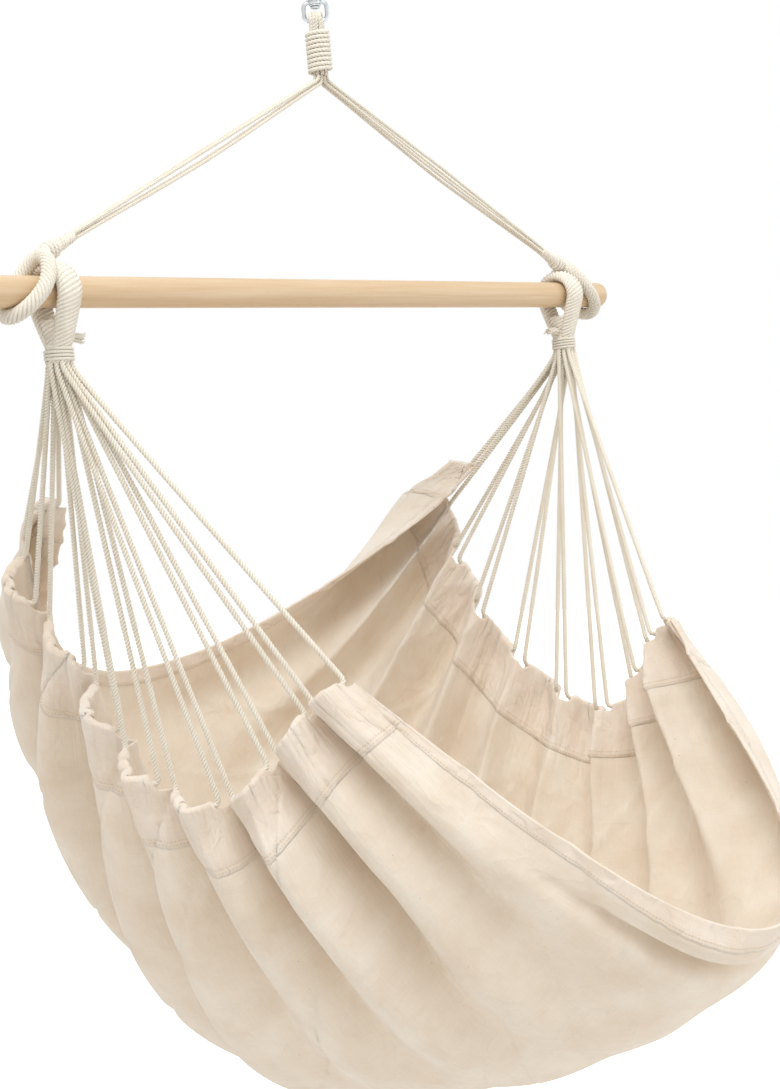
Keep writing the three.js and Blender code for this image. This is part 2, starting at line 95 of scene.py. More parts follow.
class Noise:
    """Smooth two-dimensional noise of about unit height, from a seeded table."""

    def __init__(self, seed: int, size: int = 64) -> None:
        """Fill the table.

        Args:
            seed: Seed of the table's numbers.
            size: Cells along each way before the noise repeats.
        """
        self.size = size
        self.table = np.random.default_rng(seed).uniform(-1.0, 1.0, (size, size))

    def at(self, x: Array, y: Array) -> Array:
        """Read the noise, which has one cell a unit.

        Args:
            x: Places along the first way.
            y: Places along the second way.

        Returns:
            Values between -1 and 1.
        """
        x, y = np.broadcast_arrays(np.asarray(x, float), np.asarray(y, float))
        column, row = np.floor(x).astype(int), np.floor(y).astype(int)
        across, down = smooth_step(x - column), smooth_step(y - row)
        corner = lambda i, j: self.table[(column + i) % self.size, (row + j) % self.size]
        near = corner(0, 0) * (1 - across) + corner(1, 0) * across
        far = corner(0, 1) * (1 - across) + corner(1, 1) * across
        return near * (1 - down) + far * down

    def rough(self, x: Array, y: Array, octaves: int = 3) -> Array:
        """Add finer layers of the noise, each half as high and twice as fine.

        Args:
            x: Places along the first way.
            y: Places along the second way.
            octaves: How many layers there are.

        Returns:
            Values of about unit height.
        """
        shift = 17.3
        return sum(self.at(x * 2**k + shift * k, y * 2**k) / 2**k for k in range(octaves))


def unit(vectors: Array) -> Array:
    """Scale vectors to unit length along the last axis."""
    return vectors / np.maximum(np.linalg.norm(vectors, axis=-1, keepdims=True), 1e-12)


def spline(points: Array, shares: Array, power: float) -> Array:
    """Follow a Catmull-Rom curve through points.

    Args:
        points: The points, one a row.
        shares: Places along the curve, from 0 to 1, with each span alike.
        power: 0 for even knots, 0.5 for centripetal ones.

    Returns:
        A point for each share.
    """
    padded = np.vstack([2 * points[0] - points[1], points, 2 * points[-1] - points[-2]])
    place = np.clip(shares, 0, 1) * (len(points) - 1)
    span = np.minimum(place.astype(int), len(points) - 2)
    t = (place - span)[:, None]
    p0, p1, p2, p3 = (padded[span + k] for k in range(4))
    gap = lambda a, b: np.linalg.norm(b - a, axis=1, keepdims=True) ** power
    g0, g1, g2 = gap(p0, p1), gap(p1, p2), gap(p2, p3)
    start = ((p1 - p0) / g0 - (p2 - p0) / (g0 + g1) + (p2 - p1) / g1) * g1
    finish = ((p2 - p1) / g1 - (p3 - p1) / (g1 + g2) + (p3 - p2) / g2) * g1
    return (
        p1
        + start * t
        + (3 * (p2 - p1) - 2 * start - finish) * t**2
        + (2 * (p1 - p2) + start + finish) * t**3
    )


def lengths(points: Array) -> Array:
    """Give the length along a line of points, from 0 at its first point."""
    return np.concatenate([[0.0], np.cumsum(np.linalg.norm(np.diff(points, axis=0), axis=1))])


def shares_along(points: Array) -> Array:
    """Give the share of a line's length at each of its points, from 0 to 1."""
    along = lengths(points)
    return along / along[-1]


def once_round(count: int) -> Array:
    """Give evenly spaced angles of one full turn, in radians."""
    return np.arange(count) * 2 * math.pi / count


def bell(off: Array, width: float) -> Array:
    """Give a soft bump of unit height for places that lie off its middle."""
    return np.exp(-((off / width) ** 2))


def evenly(points: Array, step: float) -> Array:
    """Space a line of points evenly.

    Args:
        points: The line's points, one a row.
        step: About how far apart the new points lie.

    Returns:
        The new points, with both ends kept.
    """
    along = lengths(points)
    wanted = np.linspace(0, along[-1], max(2, int(round(along[-1] / step)) + 1))
    return np.stack([np.interp(wanted, along, points[:, k]) for k in range(3)], axis=1)


def bend(before: Array, corner: Array, after: Array, steps: int = 6) -> Array:
    """Round a corner of a line.

    Args:
        before: Where the bend starts.
        corner: The corner that it cuts off.
        after: Where the bend ends.
        steps: How many points the bend has inside its ends.

    Returns:
        The points between the bend's ends.
    """
    t = np.linspace(0, 1, steps + 2)[1:-1, None]
    return before * (1 - t) ** 2 + 2 * corner * t * (1 - t) + after * t**2


# Meshes


def new_piece(
    name: str,
    points: Array,
    faces: Sequence[Sequence[int]],
    edges: Sequence[Sequence[int]] = (),
    flat: Array | None = None,
) -> Piece:
    """Make a mesh object at the origin.

    Args:
        name: The piece's name.
        points: Its vertices in metres.
        faces: Its faces as lists of vertex numbers.
        edges: Loose edges, for a line that Geometry Nodes follow.
        flat: Each vertex's place on the flat cloth in metres, for a UV map.

    Returns:
        The new object, linked to the scene.
    """
    mesh = bpy.data.meshes.new(name)
    rows = np.asarray(points).tolist()
    mesh.from_pydata(rows, [list(edge) for edge in edges], [list(face) for face in faces])
    if flat is not None:
        corners = np.zeros(len(mesh.loops), np.int32)
        mesh.loops.foreach_get("vertex_index", corners)
        layer = mesh.uv_layers.new(name="flat")
        layer.data.foreach_set("uv", np.asarray(flat, np.float32)[corners].ravel())
    mesh.validate()
    mesh.polygons.foreach_set("use_smooth", np.ones(len(mesh.polygons), bool))
    piece = bpy.data.objects.new(name, mesh)
    bpy.context.scene.collection.objects.link(piece)
    return piece


def grid_faces(rows: int, columns: int, closed: bool = False) -> list[list[int]]:
    """List the quads of a grid whose vertices run row by row.

    Args:
        rows: How many rows there are.
        columns: How many vertices each row has.
        closed: Whether each row closes on itself.

    Returns:
        The quads.
    """
    last = columns if closed else columns - 1
    return [
        [i * columns + j, i * columns + (j + 1) % columns,
         (i + 1) * columns + (j + 1) % columns, (i + 1) * columns + j]
        for i in range(rows - 1)
        for j in range(last)
    ]


def tidy(piece: Piece) -> Piece:
    """Weld a mesh's doubles and turn its faces outwards.

    Args:
        piece: The mesh object.

    Returns:
        The same object.
    """
    work = bmesh.new()
    work.from_mesh(piece.data)
    bmesh.ops.remove_doubles(work, verts=work.verts, dist=WELD)
    bmesh.ops.recalc_face_normals(work, faces=work.faces)
    work.to_mesh(piece.data)
    work.free()
    piece.data.update()
    return piece


def turned(name: str, profile: Sequence[tuple[float, float]], segments: int = 64) -> Piece:
    """Turn a profile about the Z axis.

    Args:
        name: The piece's name.
        profile: Radius and height pairs from the bottom up, whose ends lie on the axis.
        segments: How many sides the turned piece has.

    Returns:
        The closed piece.
    """
    angles = once_round(segments)
    ring = np.stack([np.cos(angles), np.sin(angles), np.zeros(segments)], axis=1)
    points = np.concatenate([ring * radius + ALONG_Z * height for radius, height in profile])
    return tidy(new_piece(name, points, grid_faces(len(profile), segments, closed=True)))


def swept(name: str, line: Array, radius: float, sides: int, side: Array) -> Piece:
    """Sweep a round section along a closed line that lies in one plane.

    Args:
        name: The piece's name.
        line: The line's points, the last of which meets the first.
        radius: The section's radius.
        sides: How many sides the section has.
        side: The normal of the line's plane.

    Returns:
        The closed ring.
    """
    tangent = unit(np.roll(line, -1, axis=0) - np.roll(line, 1, axis=0))
    normal = np.cross(tangent, side)
    angles = once_round(sides)[None, :, None]
    points = line[:, None] + radius * (normal[:, None] * np.cos(angles) + side * np.sin(angles))
    faces = grid_faces(len(line) + 1, sides, closed=True)
    count = len(line) * sides
    return tidy(new_piece(name, points.reshape(-1, 3), [[i % count for i in f] for f in faces]))


def fused(name: str, pieces: Sequence[Piece]) -> Piece:
    """Join overlapping closed pieces into one skin.

    Args:
        name: The new piece's name.
        pieces: The pieces, which are used up.

    Returns:
        The fused piece.
    """
    whole, *others = pieces
    for other in others:
        union = whole.modifiers.new("union", "BOOLEAN")
        union.operation, union.solver, union.object = "UNION", "EXACT", other
    result = settled(whole)
    for other in others:
        bpy.data.objects.remove(other)
    result.name = name
    return result


def reshaped(piece: Piece, move: Callable[[Array], Array]) -> Piece:
    """Move a mesh's vertices.

    Args:
        piece: The mesh object.
        move: Gives the vertices' new places from their old ones.

    Returns:
        The same object.
    """
    points = np.array([vertex.co for vertex in piece.data.vertices])
    piece.data.vertices.foreach_set("co", move(points).ravel())
    piece.data.update()
    return piece


def settled(piece: Piece) -> Piece:
    """Turn an object's evaluated modifiers into its plain mesh.

    Args:
        piece: The object with its modifiers.

    Returns:
        The same object, without modifiers.
    """
    evaluated = piece.evaluated_get(bpy.context.evaluated_depsgraph_get())
    mesh = bpy.data.meshes.new_from_object(evaluated)
    piece.modifiers.clear()
    piece.data = mesh
    return piece


# Node trees

MATH, VECTOR, NOISE = "ShaderNodeMath", "ShaderNodeVectorMath", "ShaderNodeTexNoise"
MIX, RANGE, BUMP = "ShaderNodeMix", "ShaderNodeMapRange", "ShaderNodeBump"


def feed(tree: NodeTree, node: bpy.types.Node, inputs: dict[str | int, object]) -> None:
    """Link or set a node's inputs.

    Args:
        tree: The node's tree.
        node: The node.
        inputs: For each input's name or number, a value or the socket that feeds it.
    """
    for name, value in inputs.items():
        if isinstance(value, Socket):
            tree.links.new(value, node.inputs[name])
        else:
            node.inputs[name].default_value = value


def add(
    tree: NodeTree,
    kind: str,
    inputs: dict[str | int, object] | Sequence[object] = (),
    **settings: object,
) -> bpy.types.NodeOutputs:
    """Add a node with its settings, values and links.

    Args:
        tree: The tree that takes the node.
        kind: The node's type.
        inputs: Values or the sockets that feed them, by the inputs' names or in their order.
        **settings: The node's own settings.

    Returns:
        The new node's outputs.
    """
    node = tree.nodes.new(kind)
    for name, value in settings.items():
        setattr(node, name, value)
    feed(tree, node, inputs if isinstance(inputs, dict) else dict(enumerate(inputs)))
    return node.outputs


class Tree:
    """A Geometry Nodes tree with named inputs, run once on a piece and then made plain."""

    def __init__(self, name: str, **inputs: str) -> None:
        """Start the tree.

        Args:
            name: The tree's name.
            **inputs: The names of its inputs, for each socket type without NodeSocket.
        """
        self.tree = bpy.data.node_groups.new(name, "GeometryNodeTree")
        socket = self.tree.interface.new_socket
        socket("Geometry", in_out="INPUT", socket_type="NodeSocketGeometry")
        self.keys = {
            word: socket(word, in_out="INPUT", socket_type=f"NodeSocket{kind}").identifier
            for kind, words in [*inputs.items(), ("Material", "Material")]
            for word in words.split()
        }
        socket("Geometry", in_out="OUTPUT", socket_type="NodeSocketGeometry")
        self.given = self.tree.nodes.new("NodeGroupInput").outputs
        self.curve = add(self.tree, "GeometryNodeMeshToCurve", [self.given["Geometry"]])[0]

    def rope_skin(self, curve: Socket, sides: object, thickness: Socket) -> Socket:
        """Twist laid strands along curves.

        Args:
            curve: The socket of the curves.
            sides: How many sides each strand's outline has.
            thickness: The rope's diameter.

        Returns:
            The skin's socket.
        """
        tree, given = self.tree, self.given
        along = add(tree, "GeometryNodeSplineParameter")["Length"]
        turns = add(tree, MATH, (along, given["Pitch"]), operation="DIVIDE")[0]
        tilt = add(tree, MATH, (turns, 2 * math.pi), operation="MULTIPLY")[0]
        twisted = add(tree, "GeometryNodeSetCurveTilt", {"Curve": curve, "Tilt": tilt})[0]
        count = add(tree, MATH, (given["Strands"], sides), operation="MULTIPLY")[0]
        radius = add(tree, MATH, (thickness, 0.5), operation="MULTIPLY")[0]
        profile = strand_profile(tree, count, radius, given["Strands"], given["Groove"])
        parts = {"Curve": twisted, "Profile Curve": profile, "Fill Caps": True}
        return add(tree, "GeometryNodeCurveToMesh", parts)[0]

    def finish(self, geometry: Socket) -> "Tree":
        """End the tree in real geometry with its material.

        Args:
            geometry: The socket of what the tree has made.

        Returns:
            The tree itself.
        """
        real = add(self.tree, "GeometryNodeRealizeInstances", [geometry])[0]
        smooth = add(self.tree, "GeometryNodeSetShadeSmooth", [real])[0]
        parts = {"Geometry": smooth, "Material": self.given["Material"]}
        dressed = add(self.tree, "GeometryNodeSetMaterial", parts)[0]
        self.tree.links.new(dressed, self.tree.nodes.new("NodeGroupOutput").inputs[0])
        return self

    def run(self, piece: Piece, **values: object) -> Piece:
        """Run the tree on a piece.

        Args:
            piece: The line or mesh that the tree works on.
            **values: Each input's value.

        Returns:
            The same object as a plain mesh.
        """
        modifier = piece.modifiers.new(self.tree.name, "NODES")
        modifier.node_group = self.tree
        for word, value in values.items():
            modifier[self.keys[word]] = value
        return settled(piece)


def strand_profile(
    tree: NodeTree, count: object, radius: object, strands: object, groove: object
) -> Socket:
    """Outline strands that lie together, and note on its points how deep in a groove each lies, for
    painted shade.

    Args:
        tree: The tree.
        count: How many points the outline has.
        radius: Its radius.
        strands: How many strands it has.
        groove: How deep the grooves are, as a share of the radius.

    Returns:
        The outline's socket.
    """
    circle = add(
        tree, "GeometryNodeCurvePrimitiveCircle", {"Resolution": count, "Radius": radius})[0]
    place = add(tree, "GeometryNodeInputPosition")[0]
    split = add(tree, "ShaderNodeSeparateXYZ", [place])
    angle = add(tree, MATH, (split["Y"], split["X"]), operation="ARCTAN2")[0]
    phase = add(tree, MATH, (angle, strands), operation="MULTIPLY")[0]
    lobes = add(tree, MATH, [phase], operation="COSINE")[0]
    valley = add(tree, MATH, (lobes, -0.5, 0.5), operation="MULTIPLY_ADD")[0]
    sharp = add(tree, MATH, (valley, 1.6), operation="POWER")[0]
    cut = add(tree, MATH, (sharp, groove), operation="MULTIPLY")[0]
    # painted shade: the deeper a point lies in a groove between strands, the darker the rope's
    # colour is painted there
    groove_shade = add(tree, MATH, (cut, 3.0), operation="MULTIPLY")[0]
    noted = add(
        tree, "GeometryNodeStoreNamedAttribute",
        {"Geometry": circle, "Name": "valley", "Value": groove_shade},
        data_type="FLOAT", domain="POINT")[0]
    depth = add(tree, MATH, (1.0, cut), operation="SUBTRACT")[0]
    scaled = add(tree, VECTOR, {0: place, "Scale": depth}, operation="SCALE")[0]
    return add(tree, "GeometryNodeSetPosition", {"Geometry": noted, "Position": scaled})[0]


def laid_tree() -> Tree:
    """Build the tree that lays strands round each line, as rope is laid.

    Returns:
        The tree.
    """
    laid = Tree("laid_strands", Float="Diameter Pitch Groove Step", Int="Strands Sides")
    fine = add(
        laid.tree, "GeometryNodeResampleCurve",
        {"Curve": laid.curve, "Length": laid.given["Step"]}, mode="LENGTH")[0]
    return laid.finish(laid.rope_skin(fine, laid.given["Sides"], laid.given["Diameter"]))


def winding_tree() -> Tree:
    """Build the tree that winds a thread round a line, over an oval core.

    The line's points carry the core's half_width along Side and its half_thickness across it.

    Returns:
        The tree.
    """
    wound = Tree(
        "wound_thread", Float="Turns Thread Groove Pitch", Int="Starts Steps Strands",
        Vector="Side")
    tree, given = wound.tree, wound.given
    copies = add(
        tree, "GeometryNodeDuplicateElements",
        {"Geometry": wound.curve, "Amount": given["Starts"]}, domain="SPLINE")
    count = add(tree, MATH, (given["Turns"], given["Steps"]), operation="MULTIPLY")[0]
    fine = add(
        tree, "GeometryNodeResampleCurve", {"Curve": copies[0], "Count": count}, mode="COUNT")[0]
    share = add(tree, "GeometryNodeSplineParameter")["Factor"]
    start = add(tree, MATH, (copies[1], given["Starts"]), operation="DIVIDE")[0]
    turns = add(tree, MATH, (share, given["Turns"], start), operation="MULTIPLY_ADD")[0]
    turn = add(tree, MATH, (turns, 2 * math.pi), operation="MULTIPLY")[0]
    tangent = add(tree, "GeometryNodeInputTangent")[0]
    across = add(tree, VECTOR, (tangent, given["Side"]), operation="CROSS_PRODUCT")[0]
    normal = add(tree, VECTOR, [across], operation="NORMALIZE")[0]
    moves = []
    for wave, name, way in (
        ("COSINE", "half_width", given["Side"]), ("SINE", "half_thickness", normal)
    ):
        size = add(tree, "GeometryNodeInputNamedAttribute", {"Name": name}, data_type="FLOAT")[0]
        swing = add(tree, MATH, [turn], operation=wave)[0]
        out = add(tree, MATH, (swing, size), operation="MULTIPLY")[0]
        moves.append(add(tree, VECTOR, {0: way, "Scale": out}, operation="SCALE")[0])
    offset = add(tree, VECTOR, moves, operation="ADD")[0]
    coil = add(tree, "GeometryNodeSetPosition", {"Geometry": fine, "Offset": offset})[0]
    return wound.finish(wound.rope_skin(coil, 4, given["Thread"]))


def stitch_tree() -> Tree:
    """Build the tree that sets a stitch at every step of its lines.

    Returns:
        The tree.
    """
    sewn = Tree("sewn_line", Float="Pitch Length Thread")
    tree, given = sewn.tree, sewn.given
    fine = add(
        tree, "GeometryNodeResampleCurve", {"Curve": sewn.curve, "Length": given["Pitch"]},
        mode="LENGTH")[0]
    tangent = add(tree, "GeometryNodeInputTangent")[0]
    turn = add(tree, "FunctionNodeAlignRotationToVector", {"Vector": tangent}, axis="X")[0]
    ball = add(tree, "GeometryNodeMeshUVSphere", {"Segments": 5, "Rings": 4, "Radius": 0.5})[0]
    size = add(
        tree, "ShaderNodeCombineXYZ", (given["Length"], given["Thread"], given["Thread"]))[0]
    parts = {"Points": fine, "Instance": ball, "Rotation": turn, "Scale": size}
    return sewn.finish(add(tree, "GeometryNodeInstanceOnPoints", parts)[0])


# Finishes


def linear(colour: str) -> tuple[float, float, float, float]:
    """Turn an sRGB hex colour into the linear one that shaders take.

    Args:
        colour: The colour, such as "#E6D8C3".

    Returns:
        Red, green, blue and full alpha.
    """
    parts = [int(colour[i : i + 2], 16) / 255 for i in (1, 3, 5)]
    bare = [c / 12.92 if c <= 0.04045 else ((c + 0.055) / 1.055) ** 2.4 for c in parts]
    return (*bare, 1.0)


def started(name: str) -> tuple[Material, NodeTree, bpy.types.Node]:
    """Start a material.

    Args:
        name: The material's name.

    Returns:
        The material, its tree and its shader.
    """
    material = bpy.data.materials.new(name)
    material.use_nodes = True
    tree = material.node_tree
    return material, tree, tree.nodes["Principled BSDF"]


def stretched(
    tree: NodeTree, place: Socket, sizes: tuple[float, float, float], detail: float = 2.0
) -> Socket:
    """Draw noise whose spots are longer one way than another.

    Args:
        tree: The material's tree.
        place: The socket of the place that it is drawn on.
        sizes: Its spots' sizes along the three axes, in millimetres.
        detail: How many finer layers it has.

    Returns:
        The noise, around one half.
    """
    scale = tuple(1 / (size * MM) for size in sizes)
    mapped = add(tree, "ShaderNodeMapping", {"Vector": place, "Scale": scale})[0]
    return add(tree, NOISE, {"Vector": mapped, "Scale": 1.0, "Detail": detail})[0]


# To the eye it is matt and warm, with an even grain, short slubs both ways and rare seed flecks
@dataclass(frozen=True)
class Canvas:
    """Cotton canvas, plain woven and unbleached."""

    name: str
    colour: str = "#ECE1D3"
    shade: str = "#DECEBB"
    fleck: str = "#8A6B4C"
    thread_mm: float = 1.6  # real yarns lie 0.7 mm apart, too fine to show
    slub_mm: tuple[float, float] = (2.2, 24.0)
    mottle_mm: float = 70.0
    fleck_mm: float = 13.0
    fleck_radius: float = 0.05  # as a share of a fleck's cell
    flecked: float = 0.2  # share of the cells that have one
    bump_mm: float = 0.25
    crease_mm: float = 42.0
    crease_depth_mm: float = 2.4
    crease_strength: float = 0.55
    pleat_mm: tuple[float, float] = (80.0, 8.0)  # long across the hems, narrow along them
    pleat_depth_mm: float = 4.0
    pleated: tuple[float, float] = (0.38, 0.6)  # metres from the cloth's middle
    glow_mm: float = 5.0  # how far light spreads in the yarns
    tone_shares: tuple[float, float] = (1.1, 0.22)  # how much clouds and slubs count
    fleck_share: float = 0.5  # how strongly a fleck shows
    puff_share: float = 1.6  # how much swells count beside the ridges
    weave_shares: tuple[float, float] = (0.35, 0.5)  # how much yarns and slubs count
    pleat_strength: float = 0.6
    weave_strength: float = 0.5

    def material(self) -> Material:
        """Build the canvas on the cloth's flat map, in metres.

        Returns:
            The material.
        """
        material, tree, shader = started(self.name)
        flat = add(tree, "ShaderNodeUVMap", uv_map="flat")[0]
        thin, long = self.slub_mm
        ways = [stretched(tree, flat, sizes) for sizes in ((long, thin, 1e3), (thin, long, 1e3))]
        slubs = add(tree, MATH, ways, operation="ADD")[0]
        feed(tree, shader, {
            "Base Color": self.tone(tree, flat, slubs), "Normal": self.relief(tree, flat, slubs),
            "Roughness": 0.92, "Subsurface Weight": 0.3, "Subsurface Radius": (1.0, 0.8, 0.62),
            "Subsurface Scale": self.glow_mm * MM, "Specular IOR Level": 0.25, "Sheen Weight": 0.12,
            "Sheen Roughness": 0.6})
        return material

    def tone(self, tree: NodeTree, flat: Socket, slubs: Socket) -> Socket:
        """Mix the cloth's colours: soft clouds, slubs and a few seed flecks.

        Args:
            tree: The material's tree.
            flat: The flat map's socket.
            slubs: The slubs' socket.

        Returns:
            The colour's socket.
        """
        cloud = add(
            tree, NOISE, {"Vector": flat, "Scale": 1 / (self.mottle_mm * MM), "Detail": 4.0})[0]
        cloudy, slubby = self.tone_shares
        clouds = add(tree, MATH, (cloud, cloudy), operation="MULTIPLY")[0]
        mixed = add(tree, MATH, (slubs, slubby, clouds), operation="MULTIPLY_ADD")[0]
        share = add(tree, RANGE, {"Value": mixed, "From Min": 0.5, "From Max": 1.05})[0]
        cloth = add(
            tree, MIX, {"Factor": share, "A": linear(self.colour), "B": linear(self.shade)},
            data_type="RGBA")["Result"]
        cells = add(
            tree, "ShaderNodeTexVoronoi",
            {"Vector": flat, "Scale": 1 / (self.fleck_mm * MM), "Randomness": 1.0})
        near = add(tree, MATH, (cells["Distance"], self.fleck_radius), operation="LESS_THAN")[0]
        draw = add(tree, "ShaderNodeSeparateColor", [cells["Color"]])[0]
        rare = add(tree, MATH, (draw, 1 - self.flecked), operation="GREATER_THAN")[0]
        both = add(tree, MATH, (near, rare), operation="MULTIPLY")[0]
        speck = add(tree, MATH, (both, self.fleck_share), operation="MULTIPLY")[0]
        return add(
            tree, MIX, {"Factor": speck, "A": cloth, "B": linear(self.fleck)},
            data_type="RGBA")["Result"]

    def relief(self, tree: NodeTree, flat: Socket, slubs: Socket) -> Socket:
        """Raise soft creases, the hems' fine pleats, and the yarns and slubs of the weave.

        Args:
            tree: The material's tree.
            flat: The flat map's socket.
            slubs: The slubs' socket.

        Returns:
            The normal's socket.
        """
        soft = add(
            tree, NOISE,
            {"Vector": flat, "Scale": 1 / (self.crease_mm * MM), "Detail": 2.0,
             "Roughness": 0.4, "Distortion": 0.5})[0]
        off = add(tree, MATH, (soft, 0.5), operation="SUBTRACT")[0]
        ridge = add(tree, MATH, [off], operation="ABSOLUTE")[0]
        sharp = add(tree, MATH, [ridge], operation="SQRT")[0]
        puffed = add(tree, MATH, (soft, self.puff_share, sharp), operation="MULTIPLY_ADD")[0]
        scale = 1 / (2 * self.thread_mm * MM)
        waves = [
            add(tree, "ShaderNodeTexWave",
                {"Vector": flat, "Scale": scale / math.pi, "Distortion": 1.2, "Detail": 1.0},
                bands_direction=way)["Fac"]
            for way in ("X", "Y")
        ]
        yarns = add(tree, MATH, waves, operation="ADD")[0]
        threaded, slubby = self.weave_shares
        weave = add(tree, MATH, (yarns, threaded), operation="MULTIPLY")[0]
        woven = add(tree, MATH, (slubs, slubby, weave), operation="MULTIPLY_ADD")[0]
        normal = {}
        for height, strength, depth_mm in (
            (puffed, self.crease_strength, self.crease_depth_mm),
            (self.pleats(tree, flat), self.pleat_strength, self.pleat_depth_mm),
            (woven, self.weave_strength, self.bump_mm),
        ):
            parts = {"Height": height, "Strength": strength, "Distance": depth_mm * MM}
            normal = {"Normal": add(tree, BUMP, {**parts, **normal})[0]}
        return normal["Normal"]

    def pleats(self, tree: NodeTree, flat: Socket) -> Socket:
        """Draw the fine pleats that the side hems gather, which fade out in the panel.

        Args:
            tree: The material's tree.
            flat: The flat map's socket.

        Returns:
            The pleats' height.
        """
        noise = stretched(tree, flat, (*self.pleat_mm, 1e3))
        across = add(tree, "ShaderNodeSeparateXYZ", [flat])["X"]
        away = add(tree, MATH, [across], operation="ABSOLUTE")[0]
        low, high = self.pleated
        near = add(tree, RANGE, {"Value": away, "From Min": low, "From Max": high})[0]
        return add(tree, MATH, (noise, near), operation="MULTIPLY")[0]


# To the eye it is pale, matt and fuzzy, with painted shade where strands meet
@dataclass(frozen=True)
class CottonRope:
    """Cotton rope, twisted from unbleached yarn."""

    name: str
    colour: str = "#F8F3E8"
    shade: str = "#EDE3D2"
    # painted shade: the colour that the grooves between strands are darkened towards
    valley: str = "#C9B899"
    fibre_mm: float = 0.9
    patch_mm: float = 30.0
    bump_mm: float = 0.35
    tone_shares: tuple[float, float] = (0.5, 0.6)  # how much fibres and patches count
    valley_shade_share: float = 0.45  # how strongly the painted shade in the strands' grooves shows

    def material(self) -> Material:
        """Build the rope's material from its place in the frame.

        Returns:
            The material.
        """
        material, tree, shader = started(self.name)
        place = add(tree, "ShaderNodeTexCoord")["Object"]
        fibre = add(
            tree, NOISE, {"Vector": place, "Scale": 1 / (self.fibre_mm * MM), "Detail": 3.0})[0]
        patch = add(tree, NOISE, {"Vector": place, "Scale": 1 / (self.patch_mm * MM)})[0]
        fibrous, patchy = self.tone_shares
        patches = add(tree, MATH, (patch, patchy), operation="MULTIPLY")[0]
        share = add(tree, MATH, (fibre, fibrous, patches), operation="MULTIPLY_ADD")[0]
        eased = add(tree, RANGE, {"Value": share, "From Min": 0.35, "From Max": 0.85})[0]
        cotton = add(
            tree, MIX, {"Factor": eased, "A": linear(self.colour), "B": linear(self.shade)},
            data_type="RGBA")["Result"]
        # painted shade: darken the cotton in the grooves between strands, by the depth that the
        # profile noted
        noted = add(tree, "ShaderNodeAttribute", attribute_name="valley")["Fac"]
        deep = add(tree, MATH, (noted, self.valley_shade_share), operation="MULTIPLY")[0]
        shaded = add(
            tree, MIX, {"Factor": deep, "A": cotton, "B": linear(self.valley)},
            data_type="RGBA")["Result"]
        relief = add(
            tree, BUMP, {"Height": fibre, "Strength": 0.45, "Distance": self.bump_mm * MM})[0]
        feed(tree, shader, {
            "Base Color": shaded, "Normal": relief, "Roughness": 0.95,
            "Specular IOR Level": 0.2, "Sheen Weight": 0.15})
        return material


# To the eye it is a warm wood with fine straight grain, short ray flecks and a low soft gloss
@dataclass(frozen=True)
class OiledBeech:
    """Steamed beech, turned, sanded and oiled."""

    name: str
    colour: str = "#DCC3A1"
    band: str = "#CCAC84"
    fleck: str = "#C79A6C"
    band_mm: tuple[float, float] = (7.0, 280.0)
    grain_mm: tuple[float, float] = (0.8, 60.0)
    fleck_mm: tuple[float, float] = (1.3, 9.0)
    pore_mm: float = 0.1
    tone_shares: tuple[float, float] = (0.75, 0.45)  # how much bands and grain count

    def material(self) -> Material:
        """Build the wood with its grain along X.

        Returns:
            The material.
        """
        material, tree, shader = started(self.name)
        place = add(tree, "ShaderNodeTexCoord")["Object"]
        bands, grain, flecks = (
            stretched(tree, place, (long, wide, wide), 3.0)
            for wide, long in (self.band_mm, self.grain_mm, self.fleck_mm)
        )
        banded, grained = self.tone_shares
        broad = add(tree, MATH, (bands, banded), operation="MULTIPLY")[0]
        share = add(tree, MATH, (grain, grained, broad), operation="MULTIPLY_ADD")[0]
        eased = add(tree, RANGE, {"Value": share, "From Min": 0.4, "From Max": 0.8})[0]
        wood = add(
            tree, MIX, {"Factor": eased, "A": linear(self.colour), "B": linear(self.band)},
            data_type="RGBA")["Result"]
        spots = add(
            tree, RANGE, {"Value": flecks, "From Min": 0.62, "From Max": 0.74, "To Max": 0.4})[0]
        flecked = add(
            tree, MIX, {"Factor": spots, "A": wood, "B": linear(self.fleck)},
            data_type="RGBA")["Result"]
        relief = add(
            tree, BUMP, {"Height": grain, "Strength": 0.2, "Distance": self.pore_mm * MM})[0]
        feed(tree, shader, {
            "Base Color": flecked, "Normal": relief, "Roughness": 0.48, "IOR": 1.5})
        return material


# To the eye it is a cool light grey metal with soft blurred reflections
@dataclass(frozen=True)
class ZincSteel:
    """Steel wire and turned steel, zinc plated."""

    name: str
    colour: str = "#C6CACD"
    spot_mm: float = 3.0
    roughness: tuple[float, float] = (0.24, 0.42)

    def material(self) -> Material:
        """Build the plated metal.

        Returns:
            The material.
        """
        material, tree, shader = started(self.name)
        place = add(tree, "ShaderNodeTexCoord")["Object"]
        spots = add(tree, NOISE, {"Vector": place, "Scale": 1 / (self.spot_mm * MM)})[0]
        low, high = self.roughness
        rough = add(
            tree, RANGE,
            {"Value": spots, "From Min": 0.3, "From Max": 0.7, "To Min": low, "To Max": high})[0]
        feed(tree, shader, {
            "Base Color": linear(self.colour), "Roughness": rough, "Metallic": 1.0})
        return material


# To the eye it draws fine rows a shade darker than the cloth
@dataclass(frozen=True)
class SewingThread:
    """Twisted cotton sewing thread."""

    name: str
    colour: str = "#CDB48F"
    light: str = "#DCC8A8"
    twist_mm: float = 0.6

    def material(self) -> Material:
        """Build the thread's material.

        Returns:
            The material.
        """
        material, tree, shader = started(self.name)
        place = add(tree, "ShaderNodeTexCoord")["Object"]
        twist = add(tree, NOISE, {"Vector": place, "Scale": 1 / (self.twist_mm * MM)})[0]
        cotton = add(
            tree, MIX, {"Factor": twist, "A": linear(self.colour), "B": linear(self.light)},
            data_type="RGBA")["Result"]
        feed(tree, shader, {"Base Color": cotton, "Roughness": 0.85})
        return material


